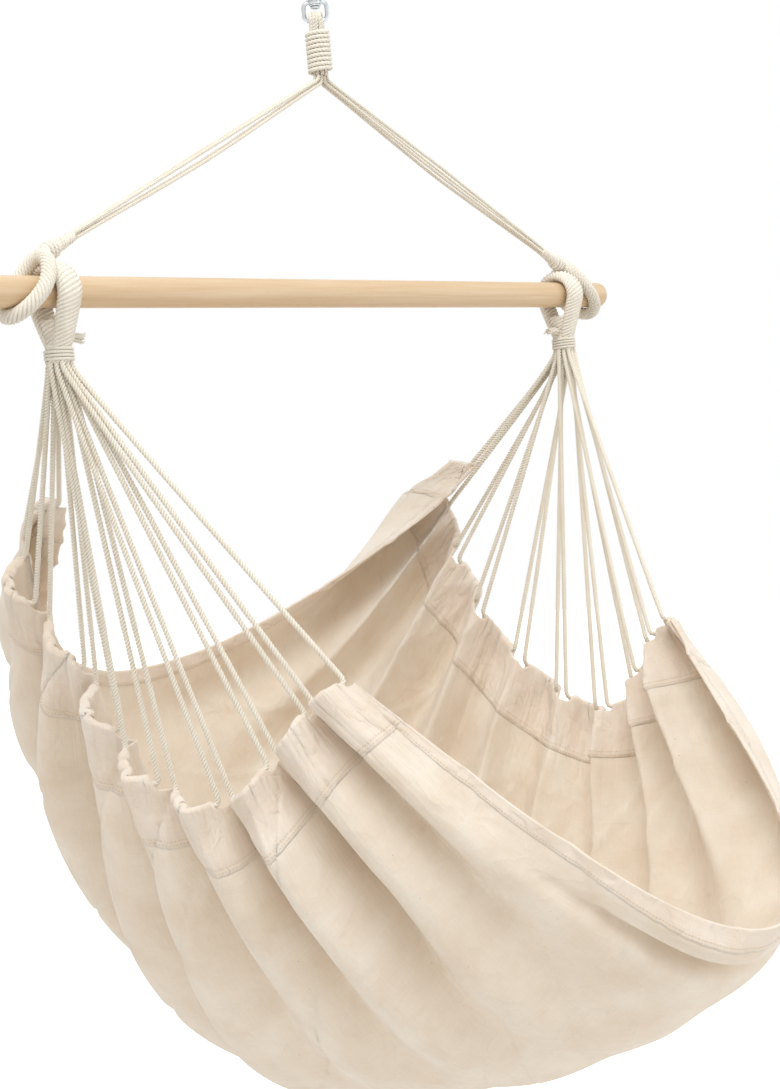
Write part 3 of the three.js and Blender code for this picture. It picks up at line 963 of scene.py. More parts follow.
@dataclass(frozen=True)
class Finishes:
    """Every finish of the chair, each made once."""

    canvas: Material = field(default_factory=Canvas("natural_canvas").material)
    hemming: Material = field(default_factory=Canvas(
        "folded_canvas", colour="#EBE0D3", crease_mm=26.0, crease_strength=0.65).material)
    rope: Material = field(default_factory=CottonRope("served_cotton_rope").material)
    cord: Material = field(default_factory=CottonRope(
        "laid_cotton_cord", colour="#F5F0E4", shade="#E9DFCE").material)
    beech: Material = field(default_factory=OiledBeech("oiled_beech").material)
    zinc: Material = field(default_factory=ZincSteel("zinc_plated_steel").material)
    thread: Material = field(default_factory=SewingThread("cotton_thread").material)


@dataclass(frozen=True)
class Trees:
    """The node trees that the sub-assemblies share, each made once."""

    laid: Tree = field(default_factory=laid_tree)
    wound: Tree = field(default_factory=winding_tree)
    sewn: Tree = field(default_factory=stitch_tree)


def dress(
    piece: Piece, body: str, material: Material, nodes: Sequence[str] = ()
) -> Piece:
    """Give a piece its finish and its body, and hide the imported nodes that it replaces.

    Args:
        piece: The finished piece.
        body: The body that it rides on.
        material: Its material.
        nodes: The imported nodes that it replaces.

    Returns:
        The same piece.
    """
    piece.data.materials.clear()
    piece.data.materials.append(material)
    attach(piece, body)
    if nodes:
        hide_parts(*nodes)
    LOG.info("%s: %d faces on %s", piece.name, len(piece.data.polygons), body)
    return piece


def line_piece(name: str, points: Array, sizes: dict[str, Array] | None = None) -> Piece:
    """Make a line that a node tree follows.

    Args:
        name: The piece's name.
        points: The line's points.
        sizes: Numbers that each point carries, by name.

    Returns:
        The line as a mesh of edges.
    """
    edges = [(i, i + 1) for i in range(len(points) - 1)]
    piece = new_piece(name, points, (), edges)
    for word, values in (sizes or {}).items():
        layer = piece.data.attributes.new(word, "FLOAT", "POINT")
        layer.data.foreach_set("value", np.asarray(values, np.float32))
    return piece


def merged(name: str, pieces: Sequence[Piece]) -> Piece:
    """Put the meshes of several pieces into one object.

    Args:
        name: The new piece's name.
        pieces: The pieces, which are used up.

    Returns:
        The one piece.
    """
    work = bmesh.new()
    for piece in pieces:
        work.from_mesh(piece.data)
    mesh = bpy.data.meshes.new(name)
    work.to_mesh(mesh)
    work.free()
    for piece in pieces:
        bpy.data.objects.remove(piece)
    whole = bpy.data.objects.new(name, mesh)
    bpy.context.scene.collection.objects.link(whole)
    return whole


# The part's sizes, as its CAD source has them, in metres

LOBES = 9


@dataclass(frozen=True)
class Levels:
    """Heights and places that several sub-assemblies share."""

    stirrup_bar: float = -65.2 * MM
    whipping_top: float = -74.5 * MM
    whipping_bottom: float = -122 * MM
    neck_bottom: float = -123 * MM
    bar: float = -356 * MM
    waist_top: float = -407 * MM
    waist_bottom: float = -422.98 * MM
    flare_bottom: float = -426.98 * MM
    bar_radius: float = 15 * MM
    bar_half: float = 500 * MM
    loop_centre: float = 416 * MM
    clearance: float = 0.3 * MM
    stirrup_turn: float = math.radians(-51)


LEVELS = Levels()


def about_z(points: Array, angle: float) -> Array:
    """Turn points about the Z axis.

    Args:
        points: Points, one a row.
        angle: The turn in radians.

    Returns:
        The turned points.
    """
    c, s = math.cos(angle), math.sin(angle)
    return points @ np.array([[c, s, 0], [-s, c, 0], [0, 0, 1]])


def strap_line(axis: float, round_: float, foot: float, span: float) -> Array:
    """Give the middle line of a strap over a bar along X, with its legs drawn together.

    Args:
        axis: The bar's height.
        round_: The line's radius round the bar.
        foot: The height of the strap's two feet.
        span: How far apart the feet are.

    Returns:
        The line from the front foot over the bar to the back one.
    """
    reach = math.hypot(span / 2, axis - foot)
    foot_angle = math.pi - math.atan2(span / 2, axis - foot)
    leaves = foot_angle - math.acos(round_ / reach)
    angle = np.linspace(-leaves, leaves, 49)[:, None]
    over = ALONG_Z * axis + round_ * (ALONG_Y * np.sin(angle) + ALONG_Z * np.cos(angle))
    feet = [ALONG_Y * (sign * span / 2) + ALONG_Z * foot for sign in (-1, 1)]
    return evenly(np.vstack([feet[0], over, feet[1]]), STEP)


# Steel swivel


@dataclass
class Swivel:
    """The eye that hangs on a ceiling hook, and the stirrup that turns on the eye's pin."""

    finishes: Finishes
    bore: float = 26 * MM
    wire: float = 7 * MM
    collar_radius: float = 10 * MM
    collar: tuple[float, float] = (-42 * MM, -29.5 * MM)
    pin_radius: float = 3 * MM
    head: tuple[float, float, float] = (5 * MM, -52.6 * MM, -49.6 * MM)
    washer: tuple[float, float, float] = (6.5 * MM, -49.3 * MM, -48.1 * MM)
    bow_wire: float = 4.6 * MM
    bow_width: float = 20 * MM
    bow_corner: float = 6 * MM
    boss: tuple[float, float, float] = (6.5 * MM, -47.8 * MM, -42.3 * MM)
    edge: float = 0.6 * MM
    shoulder_edge: float = 1.2 * MM
    shoulder: tuple[float, float] = (8.5 * MM, 7 * MM)  # where its top bends in, below the ring
    throat: tuple[tuple[float, float], ...] = (
        (7.2 * MM, 4.6 * MM), (6.2 * MM, 3 * MM), (6 * MM, 0.0))  # radius and depth above it
    rivet_edge: float = 1.1 * MM
    washer_edge: float = 0.3 * MM
    pin_seat_depth: float = 6 * MM
    pin_ends: tuple[float, float] = (5.4 * MM, 5.7 * MM)  # where its eased end is in the seat
    overrun: float = 2 * MM  # how far the drill runs past the boss
    sides: int = 24
    ring_spans: int = 96

    @property
    def hole(self) -> float:
        """The radius of the pin's hole."""
        return self.pin_radius + LEVELS.clearance

    def build(self) -> None:
        """Build and dress the swivel's four pieces."""
        zinc = self.finishes.zinc
        dress(self.eye(), "swivel_top", zinc, ["upper_eye"])
        dress(self.pin(), "swivel_top", zinc, ["swivel_pin"])
        dress(self.thrust_washer(), "swivel_top", zinc, ["thrust_washer"])
        dress(self.stirrup(), "swivel_bow", zinc, ["stirrup"])

    def eye(self) -> Piece:
        """Forge the round eye onto its shouldered boss, with the pin's seat bored.

        Returns:
            The piece.
        """
        angles = once_round(self.ring_spans)
        radius = (self.bore + self.wire) / 2
        line = np.stack([np.cos(angles), 0 * angles, np.sin(angles)], axis=1) * radius
        line = line - ALONG_Z * self.bore / 2
        ring = swept("ring", line, self.wire / 2, self.sides, ALONG_Y)
        low, high = self.collar
        r, e, seat = self.collar_radius, self.shoulder_edge, low + self.pin_seat_depth
        boss = turned(
            "boss",
            [(0, seat), (self.hole, seat), (self.hole, low), (r - e, low),
             (r - e / 3, low + e / 3), (r, low + e), (r, high - self.shoulder[0]),
             (r - e / 2, high - self.shoulder[1]),
             *[(width, high - depth) for width, depth in self.throat], (0, high)])
        return fused("eye_ring_and_boss", [boss, ring])

    def pin(self) -> Piece:
        """Turn the pin with its rounded rivet head.

        Returns:
            The piece.
        """
        r, low, high = self.head
        e, p = self.rivet_edge, self.pin_radius
        neck, end = (self.collar[0] + part for part in self.pin_ends)
        return turned(
            "pin_with_rivet_head",
            [(0, low), (r - 2 * e, low), (r - e, low + 0.25 * e), (r - 0.3 * e, low + 0.7 * e),
             (r, low + 1.4 * e), (r, high - 0.3 * e), (r - 0.3 * e, high), (p, high), (p, neck),
             (p - (end - neck), end), (0, end)])

    def thrust_washer(self) -> Piece:
        """Stamp the washer under the stirrup's boss.

        Returns:
            The piece.
        """
        r, low, high = self.washer
        b, e = self.hole, self.washer_edge
        return turned(
            "washer_under_boss",
            [(b, low + e), (b + e, low), (r - e, low), (r, low + e), (r, high - e),
             (r - e, high), (b + e, high), (b, high - e), (b, low + e)])

    def stirrup(self) -> Piece:
        """Bend the stirrup's wire and fuse it to its drilled boss.

        Returns:
            The piece.
        """
        half = (self.bow_width + self.bow_wire) / 2
        radius, low, high = self.boss
        top, r = (low + high) / 2, self.bow_corner
        corners = [(half - r, top - r, 0), (-half + r, top - r, 1),
                   (-half + r, LEVELS.stirrup_bar + r, 2), (half - r, LEVELS.stirrup_bar + r, 3)]
        arcs = []
        for x, z, quarter in corners:
            angle = (quarter + np.linspace(0, 1, 13)[:, None]) * math.pi / 2
            arcs.append(ALONG_X * (x + r * np.cos(angle)) + ALONG_Z * (z + r * np.sin(angle)))
        loop = np.vstack(arcs)
        loop = evenly(np.vstack([loop, loop[:1]]), FINE_STEP)[:-1]
        wire = swept("wire", loop, self.bow_wire / 2, self.sides, ALONG_Y)
        bottom, top = low - self.overrun, high + self.overrun
        bore = turned("bore", [(0, bottom), (self.hole, bottom), (self.hole, top), (0, top)])
        solid = turned(
            "boss_disc",
            [(0, low), (radius - self.edge, low), (radius, low + self.edge),
             (radius, high - self.edge), (radius - self.edge, high), (0, high)])
        whole = fused("stirrup_bow", [solid, wire])
        drill = whole.modifiers.new("bore", "BOOLEAN")
        drill.operation, drill.solver, drill.object = "DIFFERENCE", "EXACT", bore
        settled(whole)
        bpy.data.objects.remove(bore)
        return reshaped(whole, lambda points: about_z(points, LEVELS.stirrup_turn))


# Rope work


@dataclass
class Ropework:
    """What every laid or served piece of the chair is made with."""

    finishes: Finishes
    trees: Trees

    def laid(
        self,
        name: str,
        lines: Sequence[Array],
        diameter: float,
        pitch: float = PITCH,
        strands: int = 3,
        sides: int = 4,
        groove: float = 0.33,
        step: float = 1.4 * MM,
    ) -> Piece:
        """Lay strands along lines.

        Args:
            name: The piece's name.
            lines: Its middle lines.
            diameter: The rope's diameter.
            pitch: How far a strand runs in one turn.
            strands: How many strands are laid together.
            sides: How many sides each strand's outline has.
            groove: How deep the grooves are, as a share of the radius.
            step: How far apart the mesh's rings lie.

        Returns:
            The plain mesh.
        """
        piece = merged(name, [line_piece("line", line) for line in lines])
        return self.trees.laid.run(
            piece, Diameter=diameter, Pitch=pitch, Strands=strands, Sides=sides,
            Groove=groove, Step=step, Material=self.finishes.cord,
        )

    def strung(
        self,
        name: str,
        line: Array,
        diameter: float,
        body: str,
        node: str,
        pitch: float = PITCH,
    ) -> None:
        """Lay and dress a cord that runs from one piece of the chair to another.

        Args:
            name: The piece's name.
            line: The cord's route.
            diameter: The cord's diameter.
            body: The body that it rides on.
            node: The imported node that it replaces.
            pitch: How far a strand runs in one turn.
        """
        path = evenly(line, PATH_STEP)
        piece = self.laid(name, [path], diameter, pitch=pitch)
        dress(piece, body, self.finishes.cord, [node])

    def served(
        self,
        line: Array,
        half_width: Array | float,
        half_thickness: Array | float,
        side: Array,
        thread: float = 4.2 * MM,
        starts: int = 1,
        lead: float | None = None,
    ) -> Piece:
        """Wind cord side by side round a line.

        Args:
            line: The line's points.
            half_width: Half the served rope's width along side, at each point or all over.
            half_thickness: Half its thickness.
            side: The direction of its width, square to the line.
            thread: The winding cord's diameter.
            starts: How many cords are wound side by side.
            lead: How far the winding moves on in a turn, if the turns don't simply touch.

        Returns:
            The plain mesh.
        """
        lead = lead or thread * starts * 0.97
        turns = lengths(line)[-1] / lead
        sizes = {
            "half_width": np.broadcast_to(half_width, len(line)) - thread / 2,
            "half_thickness": np.broadcast_to(half_thickness, len(line)) - thread / 2,
        }
        round_ = math.pi * float(sum(part.mean() for part in sizes.values()))
        steps = max(24, round(math.hypot(round_, lead) / SERVING_STEP))
        piece = line_piece("serving", line, sizes)
        return self.trees.wound.run(
            piece, Turns=turns, Starts=starts, Steps=steps, Thread=thread, Strands=3,
            Groove=0.11, Pitch=2.6 * thread, Side=tuple(float(part) for part in side),
            Material=self.finishes.rope,
        )


def helix(radius: float, bottom: float, pitch: float, turns: float, steps: int = 28) -> Array:
    """Give the middle line of a winding round Z.

    Args:
        radius: Its radius.
        bottom: The height where it starts.
        pitch: How far it climbs in a turn.
        turns: How many turns it has.
        steps: Points for each turn.

    Returns:
        The line, whose ends turn in towards the core.
    """
    turn = np.linspace(0, turns, int(turns * steps) + 1)
    tuck = 1 - 0.22 * (smooth_step(1 - turn / 0.2) + smooth_step(1 - (turns - turn) / 0.2))
    angle = turn * 2 * math.pi
    return np.stack(
        [radius * tuck * np.cos(angle), radius * tuck * np.sin(angle), bottom + pitch * turn],
        axis=1)


@dataclass
class RopeEye(Ropework):
    """The bridle's eye of cords over the stirrup, and the whipping that binds its neck."""

    cord: float = 4.4 * MM
    width: float = 17 * MM
    thickness: float = 7.5 * MM
    neck: float = 17.6 * MM
    whipping_cord: float = 4.3 * MM
    whipping_turns: int = 9
    whipping_gap: float = 0.5 * MM
    over_wire: float = 2.6 * MM  # from the stirrup's middle to the inner cords
    into_whipping: float = 3 * MM
    neck_ends: tuple[float, float] = (1 * MM, 6 * MM)  # below the whipping's top, above the foot
    wander: float = 0.5 * MM
    whipping_pitch: float = 12 * MM
    cords_in_layer: int = 4
    neck_cords: int = 8

    def build(self) -> None:
        """Build and dress the eye and its whipping."""
        dress(self.eye(), "bridle", self.finishes.rope, ["rope_eye"])
        dress(self.whipping(), "bridle", self.finishes.rope, ["eye_whipping"])

    def eye(self) -> Piece:
        """Lay the cords side by side over the stirrup, crossing on their way down.

        Returns:
            The piece.
        """
        rng = np.random.default_rng(SEED)
        lines = []
        count = self.cords_in_layer
        for layer in range(2):
            inner = self.over_wire + self.cord / 2 + layer * (self.thickness - self.cord)
            line = strap_line(
                LEVELS.stirrup_bar, inner, LEVELS.whipping_top - self.into_whipping,
                (self.neck - self.cord) * (0.35 + 0.6 * layer))
            share = shares_along(line)
            for k in range(count):
                place = (k - (count - 1) / 2) / (count / 2)
                place += 0.05 * rng.uniform(-1, 1)
                cross = 0.5 * (layer * 2 - 1) * (share - 0.5)
                half = (self.width - self.cord) / 2
                x = np.clip(place + cross, -1, 1) * half
                wave = self.wander * np.sin(share * 9 + k * 2.1 + layer)
                lines.append(line + np.outer(x + wave, ALONG_X))
        out = (self.neck - self.cord) / 2
        below, above = self.neck_ends
        for place in range(self.neck_cords):
            angle = place * 2 * math.pi / self.neck_cords + 0.3
            foot = np.array([out * math.cos(angle), out * math.sin(angle), 0])
            lines.append(np.array([
                foot + ALONG_Z * (LEVELS.whipping_top - below),
                foot * 0.95 + ALONG_Z * (LEVELS.neck_bottom + above),
                foot * 0.93 + ALONG_Z * LEVELS.neck_bottom]))
        lines = [about_z(evenly(line, STEP), LEVELS.stirrup_turn) for line in lines]
        return self.laid("eye_of_cords", lines, 1.1 * self.cord, step=FINE_STEP)

    def whipping(self) -> Piece:
        """Wind the whipping's nine turns.

        Returns:
            The piece.
        """
        radius = self.neck / 2 + LEVELS.clearance + self.whipping_cord / 2
        pitch = self.whipping_cord + self.whipping_gap
        line = helix(
            radius, LEVELS.whipping_bottom + self.whipping_cord / 2, pitch, self.whipping_turns)
        return self.laid(
            "whipping_round_neck", [line], 1.04 * pitch, pitch=self.whipping_pitch,
            step=FINE_STEP, groove=0.2)


@dataclass
class SpreaderBar:
    """A turned beech bar with eased ends."""

    finishes: Finishes
    rounding: float = 4 * MM
    rings: int = 80

    def build(self) -> None:
        """Turn the bar, lay it along X and dress it."""
        half, r, e = LEVELS.bar_half, LEVELS.bar_radius, self.rounding
        angle = np.linspace(0, math.pi / 2, 9)
        end = [(r - e * (1 - math.cos(a)), half - e * (1 - math.sin(a))) for a in angle]
        middle = [(r, x) for x in np.linspace(-half + 2 * e, half - 2 * e, self.rings)]
        profile = [(0, -half), *[(q, -x) for q, x in reversed(end)], *middle, *end, (0, half)]
        bar = turned("beech_bar", profile, segments=72)
        bar = tidy(reshaped(
            bar, lambda p: np.stack([p[:, 2], p[:, 1], LEVELS.bar - p[:, 0]], axis=1)))
        dress(bar, "bar", self.finishes.beech, ["spreader_bar"])


@dataclass
class Bridle(Ropework):
    """The served nooses on the bar, and the eight cords from them up to the rope eye."""

    cord: float = 4.2 * MM
    gap: float = 0.4 * MM
    spread: float = 8 * MM
    rope: float = 12.5 * MM
    from_bar_end: float = 38 * MM
    lean: float = 9 * MM
    neck_length: float = 76 * MM
    head: float = 11 * MM
    bulk: float = 1.4 * MM
    ring_lean: float = 22 * MM
    ring_lift: float = 10.2 * MM
    ring_lead: float = 36 * MM
    standing_lead: float = 17 * MM
    seizing: tuple[float, float] = (6 * MM, 21 * MM)  # where it starts and ends above the ring
    seizing_lead: float = 9 * MM
    seizing_bulge: float = 1.9 * MM
    cord_pitch: float = 9 * MM
    slack_step: float = 12 * MM
    slack_mm: tuple[float, float] = (1.2, 2.6)  # how far upper and lower cords sag
    tucked: float = 2 * MM
    wobble: float = 0.25 * MM
    under_serving: float = 2.2 * MM  # how far the plain cores lie below the served skin

    def __post_init__(self) -> None:
        """Work out where the right leg of the bridle runs."""
        self.pitch = self.cord + self.gap
        self.round = LEVELS.bar_radius + LEVELS.clearance + self.rope / 2
        self.centre = LEVELS.bar_half - self.from_bar_end
        self.noose_top = np.array([self.centre - self.lean, 0, LEVELS.bar + self.round])
        self.leg_top = np.array(
            [self.pitch, 0, LEVELS.neck_bottom - LEVELS.clearance - 1.5 * self.cord])
        self.leg = unit(self.leg_top - self.noose_top)
        self.noose_head = self.noose_top + self.leg * self.neck_length

    def build(self) -> None:
        """Build and dress both sides, the cords first."""
        for side in Side:
            mirror = np.array([side.value, 1, 1])
            for number, (upper, behind) in enumerate(
                [(True, False), (True, True), (False, False), (False, True)], start=1
            ):
                self.strung(
                    f"bridle_strand_{side.word}_{number}", self.cord_line(upper, behind) * mirror,
                    self.cord, "bridle", f"bridle_cord_{side.word}_{number}", self.cord_pitch)
            dress(
                self.noose(side), "bridle", self.finishes.rope,
                [f"noose_{side.word}"])

    def cord_line(self, is_upper: bool, is_behind: bool) -> Array:
        """Give the route of one cord of the right leg.

        Args:
            is_upper: Whether it is an upper cord of its leg.
            is_behind: Whether it lies behind the leg's middle.

        Returns:
            The route from the noose to the rope eye's neck.
        """
        up, out = (0.5 if is_upper else -0.5), (0.5 if is_behind else -0.5)
        across = np.array([self.leg[2], 0, -self.leg[0]])
        place = lambda point, pitch: point + across * up * pitch + ALONG_Y * out * pitch
        lower = place(self.noose_head + self.leg * LEVELS.clearance, self.pitch)
        middle = place((self.noose_head + self.leg_top) / 2, self.spread)
        corner = place(self.leg_top, self.pitch)
        corner = corner + self.leg * ((self.leg_top[0] * (1 + up) - corner[0]) / self.leg[0])
        end = np.array([corner[0], corner[1], LEVELS.neck_bottom - LEVELS.clearance])
        before = corner + (middle - corner) * 1.2 * self.cord / np.linalg.norm(middle - corner)
        after = (corner + end) / 2
        slack = evenly(np.vstack([lower, middle, before]), self.slack_step)
        share = shares_along(slack)
        bow = 16 * (share * (1 - share)) ** 2
        slack = slack - np.outer(bow, ALONG_Z) * self.slack_mm[0 if is_upper else 1] * MM
        return np.vstack([slack, bend(before, corner, after), after, end])

    def noose(self, side: Side) -> Piece:
        """Serve the noose's ring round the bar, its standing part and the seizing between them.

        Args:
            side: Which end of the bar it is at.

        Returns:
            The piece.
        """
        angle = np.linspace(0, 2 * math.pi, 97)
        round_ = self.round + self.bulk
        rise = self.ring_lift * np.maximum(np.cos(angle), 0) ** 2
        top = self.noose_top + self.leg * (round_ + self.ring_lift - self.round) / self.leg[2]
        ring = np.stack(
            [top[0] + self.ring_lean * (1 - np.cos(angle)), round_ * np.sin(angle),
             LEVELS.bar + round_ * np.cos(angle) + rise], axis=1)
        normal = unit(np.cross(ring[24] - ring[0], ring[48] - ring[0]))
        half = self.rope / 2 + self.bulk
        foot = ring[0]
        up = unit(self.noose_head - foot)
        standing = evenly(np.vstack([foot - up * self.tucked, self.noose_head]), STEP)
        share = shares_along(standing)
        taper = half + (self.head / 2 - half) * smooth_step((share - 0.25) / 0.75)
        taper = taper + self.wobble * np.sin(share * 31)
        seizing = foot + up * np.linspace(*self.seizing, 20)[:, None]
        bulge = half + self.seizing_bulge * np.sin(np.linspace(0.35, math.pi - 0.35, 20))
        inset = self.under_serving
        whole = merged(f"served_noose_{side.word}", [
            self.served(ring, half, half, normal, starts=8, lead=self.ring_lead),
            self.served(standing, taper, taper, ALONG_Y, starts=4, lead=self.standing_lead),
            self.served(seizing, bulge, bulge, ALONG_Y, starts=2, lead=self.seizing_lead),
            rope_core(ring, half - inset, half - inset, normal),
            rope_core(standing, taper.min() - inset, taper.min() - inset, ALONG_Y),
        ])
        if side is Side.LEFT:
            reshaped(whole, lambda points: points * (-1, 1, 1)).data.flip_normals()
        return whole


def rope_core(
    line: Array,
    half_width: Array | float,
    half_thickness: Array | float,
    side: Array,
    sides: int = 16,
) -> Piece:
    """Make a smooth oval core along a line.

    Args:
        line: The line's points.
        half_width: Half its width along side, at each point or all over.
        half_thickness: Half its thickness.
        side: The direction of its width.
        sides: How many sides its section has.

    Returns:
        The closed piece.
    """
    tangent = unit(np.gradient(line, axis=0))
    normal = unit(np.cross(tangent, side))
    angle = once_round(sides)[None, :, None]
    wide = np.broadcast_to(half_width, len(line))[:, None, None]
    thick = np.broadcast_to(half_thickness, len(line))[:, None, None]
    rings = line[:, None] + side * wide * np.cos(angle) + normal[:, None] * thick * np.sin(angle)
    faces = grid_faces(len(line), sides, closed=True)
    faces += [list(range(sides)), list(range((len(line) - 1) * sides, len(line) * sides))]
    return tidy(new_piece("core", rings.reshape(-1, 3), faces))


@dataclass
class SlingLoop(Ropework):
    """A served loop over the bar, whose legs meet in a whipped collar above the cords."""

    band_width: float = 29 * MM
    band_thickness: float = 14 * MM
    thread: float = 3.9 * MM
    thread_starts: int = 7
    thread_lead: float = 28 * MM
    neck_below_bar: float = 26 * MM
    waist: float = 22.6 * MM
    collar_cord: float = 2.8 * MM
    collar_turns: int = 4
    collar_gap: float = 0.42 * MM
    tail_diameter: float = 8.5 * MM
    tail_length: float = 17 * MM
    tail_lift: float = 4 * MM
    neck_skin: float = 0.3 * MM
    neck_flare: tuple[float, float] = (2.2 * MM, 6.5 * MM)  # along the bar and across it
    under_band: tuple[float, float] = (1.6 * MM, 1.4 * MM)  # how far the core lies below the skin
    into_waist: float = 4 * MM
    neck_overlap: float = 1 * MM
    under_waist: float = 0.2 * MM
    wobble: float = 0.4 * MM
    collar_pitch: float = 8.5 * MM
    tail_pitch: float = 9 * MM
    tail_strands: int = 7
    splay_mm: float = 1.7
    frays: int = 7
    fray_cord: float = 0.8 * MM
    fray_foot_mm: float = 1.5
    fray_mm: tuple[float, float] = (2.5, 4.5)

    def build(self) -> None:
        """Build and dress the loop, the collar and its cut ends on both sides."""
        for side in Side:
            shift = ALONG_X * side.value * LEVELS.loop_centre
            for make, node in (
                (self.loop, "sling_loop"), (self.collar, "collar"), (self.tail, "collar_tail")
            ):
                piece = make(side)
                piece.data.transform(Matrix.Translation(shift))
                dress(piece, "sling", self.finishes.rope, [f"{node}_{side.word}"])

    def loop(self, side: Side) -> Piece:
        """Serve the band over the bar, and the neck that its two legs share below the bar.

        Args:
            side: Which end of the bar it is at.

        Returns:
            The piece.
        """
        line = strap_line(
            LEVELS.bar, LEVELS.bar_radius + LEVELS.clearance + self.band_thickness / 2,
            LEVELS.waist_top - self.into_waist, self.waist - self.band_thickness)
        share = shares_along(line)
        drawn = smooth_step(np.minimum(share, 1 - share) / 0.24)
        wide = self.waist * 0.47 + (self.band_width / 2 - self.waist * 0.47) * drawn
        wide = wide + self.wobble * np.sin(share * 23)
        thick = self.waist * 0.3 + (self.band_thickness / 2 - self.waist * 0.3) * drawn
        way = ALONG_X * side.value
        wound = {"thread": self.thread, "starts": self.thread_starts, "lead": self.thread_lead}
        top, bottom = LEVELS.bar - self.neck_below_bar, LEVELS.waist_top - self.neck_overlap
        neck = evenly(np.array([[0, 0, bottom], [0, 0, top]]), STEP)
        open_ = smooth_step(shares_along(neck))
        across, deep = (
            self.waist / 2 + self.neck_skin + flare * open_ for flare in self.neck_flare)
        inset, thin = self.under_band
        ends = LEVELS.waist_top + 2 * self.neck_overlap, LEVELS.waist_bottom + self.neck_overlap
        waist = evenly(np.array([[0, 0, end] for end in ends]), PATH_STEP)
        radius = self.waist / 2 - self.under_waist
        return merged(f"served_loop_{side.word}", [
            self.served(line, wide, thick, way, **wound),
            rope_core(line, wide - inset, thick - thin, ALONG_X),
            self.served(neck, across, deep, way, **wound),
            rope_core(neck, across - inset, deep - inset, ALONG_X, 32),
            rope_core(waist, radius, radius, ALONG_X, 32),
        ])

    def collar(self, side: Side) -> Piece:
        """Whip the collar's turns round the waist.

        Args:
            side: Which end of the bar it is at.

        Returns:
            The piece.
        """
        pitch = self.collar_cord + self.collar_gap
        radius = self.waist / 2 + LEVELS.clearance + self.collar_cord / 2
        line = helix(
            radius, LEVELS.waist_bottom + LEVELS.clearance / 2 + self.collar_cord / 2, pitch,
            self.collar_turns)
        if side is Side.LEFT:
            line = line * (-1, 1, 1)
        return self.laid(
            f"whipped_collar_{side.word}", [line], 1.05 * pitch, pitch=self.collar_pitch,
            step=FINE_STEP, groove=0.18)

    def tail(self, side: Side) -> Piece:
        """Bundle the whipping's cut ends, which fray towards the bar's middle.

        Args:
            side: Which end of the bar it is at.

        Returns:
            The piece.
        """
        rng = np.random.default_rng(SEED + side.value)
        height = LEVELS.waist_top + self.tail_diameter / 2 + LEVELS.clearance
        radius = self.waist / 2
        base = np.array([
            [radius - self.tail_diameter / 2, 0, 0], [radius + self.tail_length * 0.25, 0, 0.6],
            [radius + self.tail_length / 2, 0, 1], [radius + self.tail_length, 0, 0.7]])
        base[:, 2] *= self.tail_lift
        base[:, 0] *= -side.value
        base[:, 2] += height
        strands = []
        outer = self.tail_strands - 1
        for k in range(self.tail_strands):
            angle = k * 2 * math.pi / outer
            out = 0 if k == outer else 0.34 * self.tail_diameter
            offset = np.array([0, math.cos(angle), math.sin(angle)]) * out
            fray = np.array([0.0, 0.1, 0.45, 1.0])[:, None] * rng.uniform(-1, 1, 3)
            strands.append(evenly(base + offset + fray * self.splay_mm * MM, STEP))
        whole = [self.laid(
            "strands", strands, 0.4 * self.tail_diameter, pitch=self.tail_pitch, step=STEP)]
        ends = []
        for strand in strands:
            tip, way = strand[-1], unit(strand[-1] - strand[-4])
            for _ in range(self.frays):
                spread = unit(way + 0.75 * rng.uniform(-1, 1, 3))
                ends.append(np.array([
                    tip - way * self.fray_foot_mm * MM, tip + spread * self.fray_foot_mm * MM,
                    tip + spread * rng.uniform(*self.fray_mm) * MM]))
        whole.append(self.laid(
            "frayed", ends, self.fray_cord, strands=1, sides=5, groove=0, step=STEP))
        return merged(f"cut_ends_{side.word}", whole)


# The sling's cloth


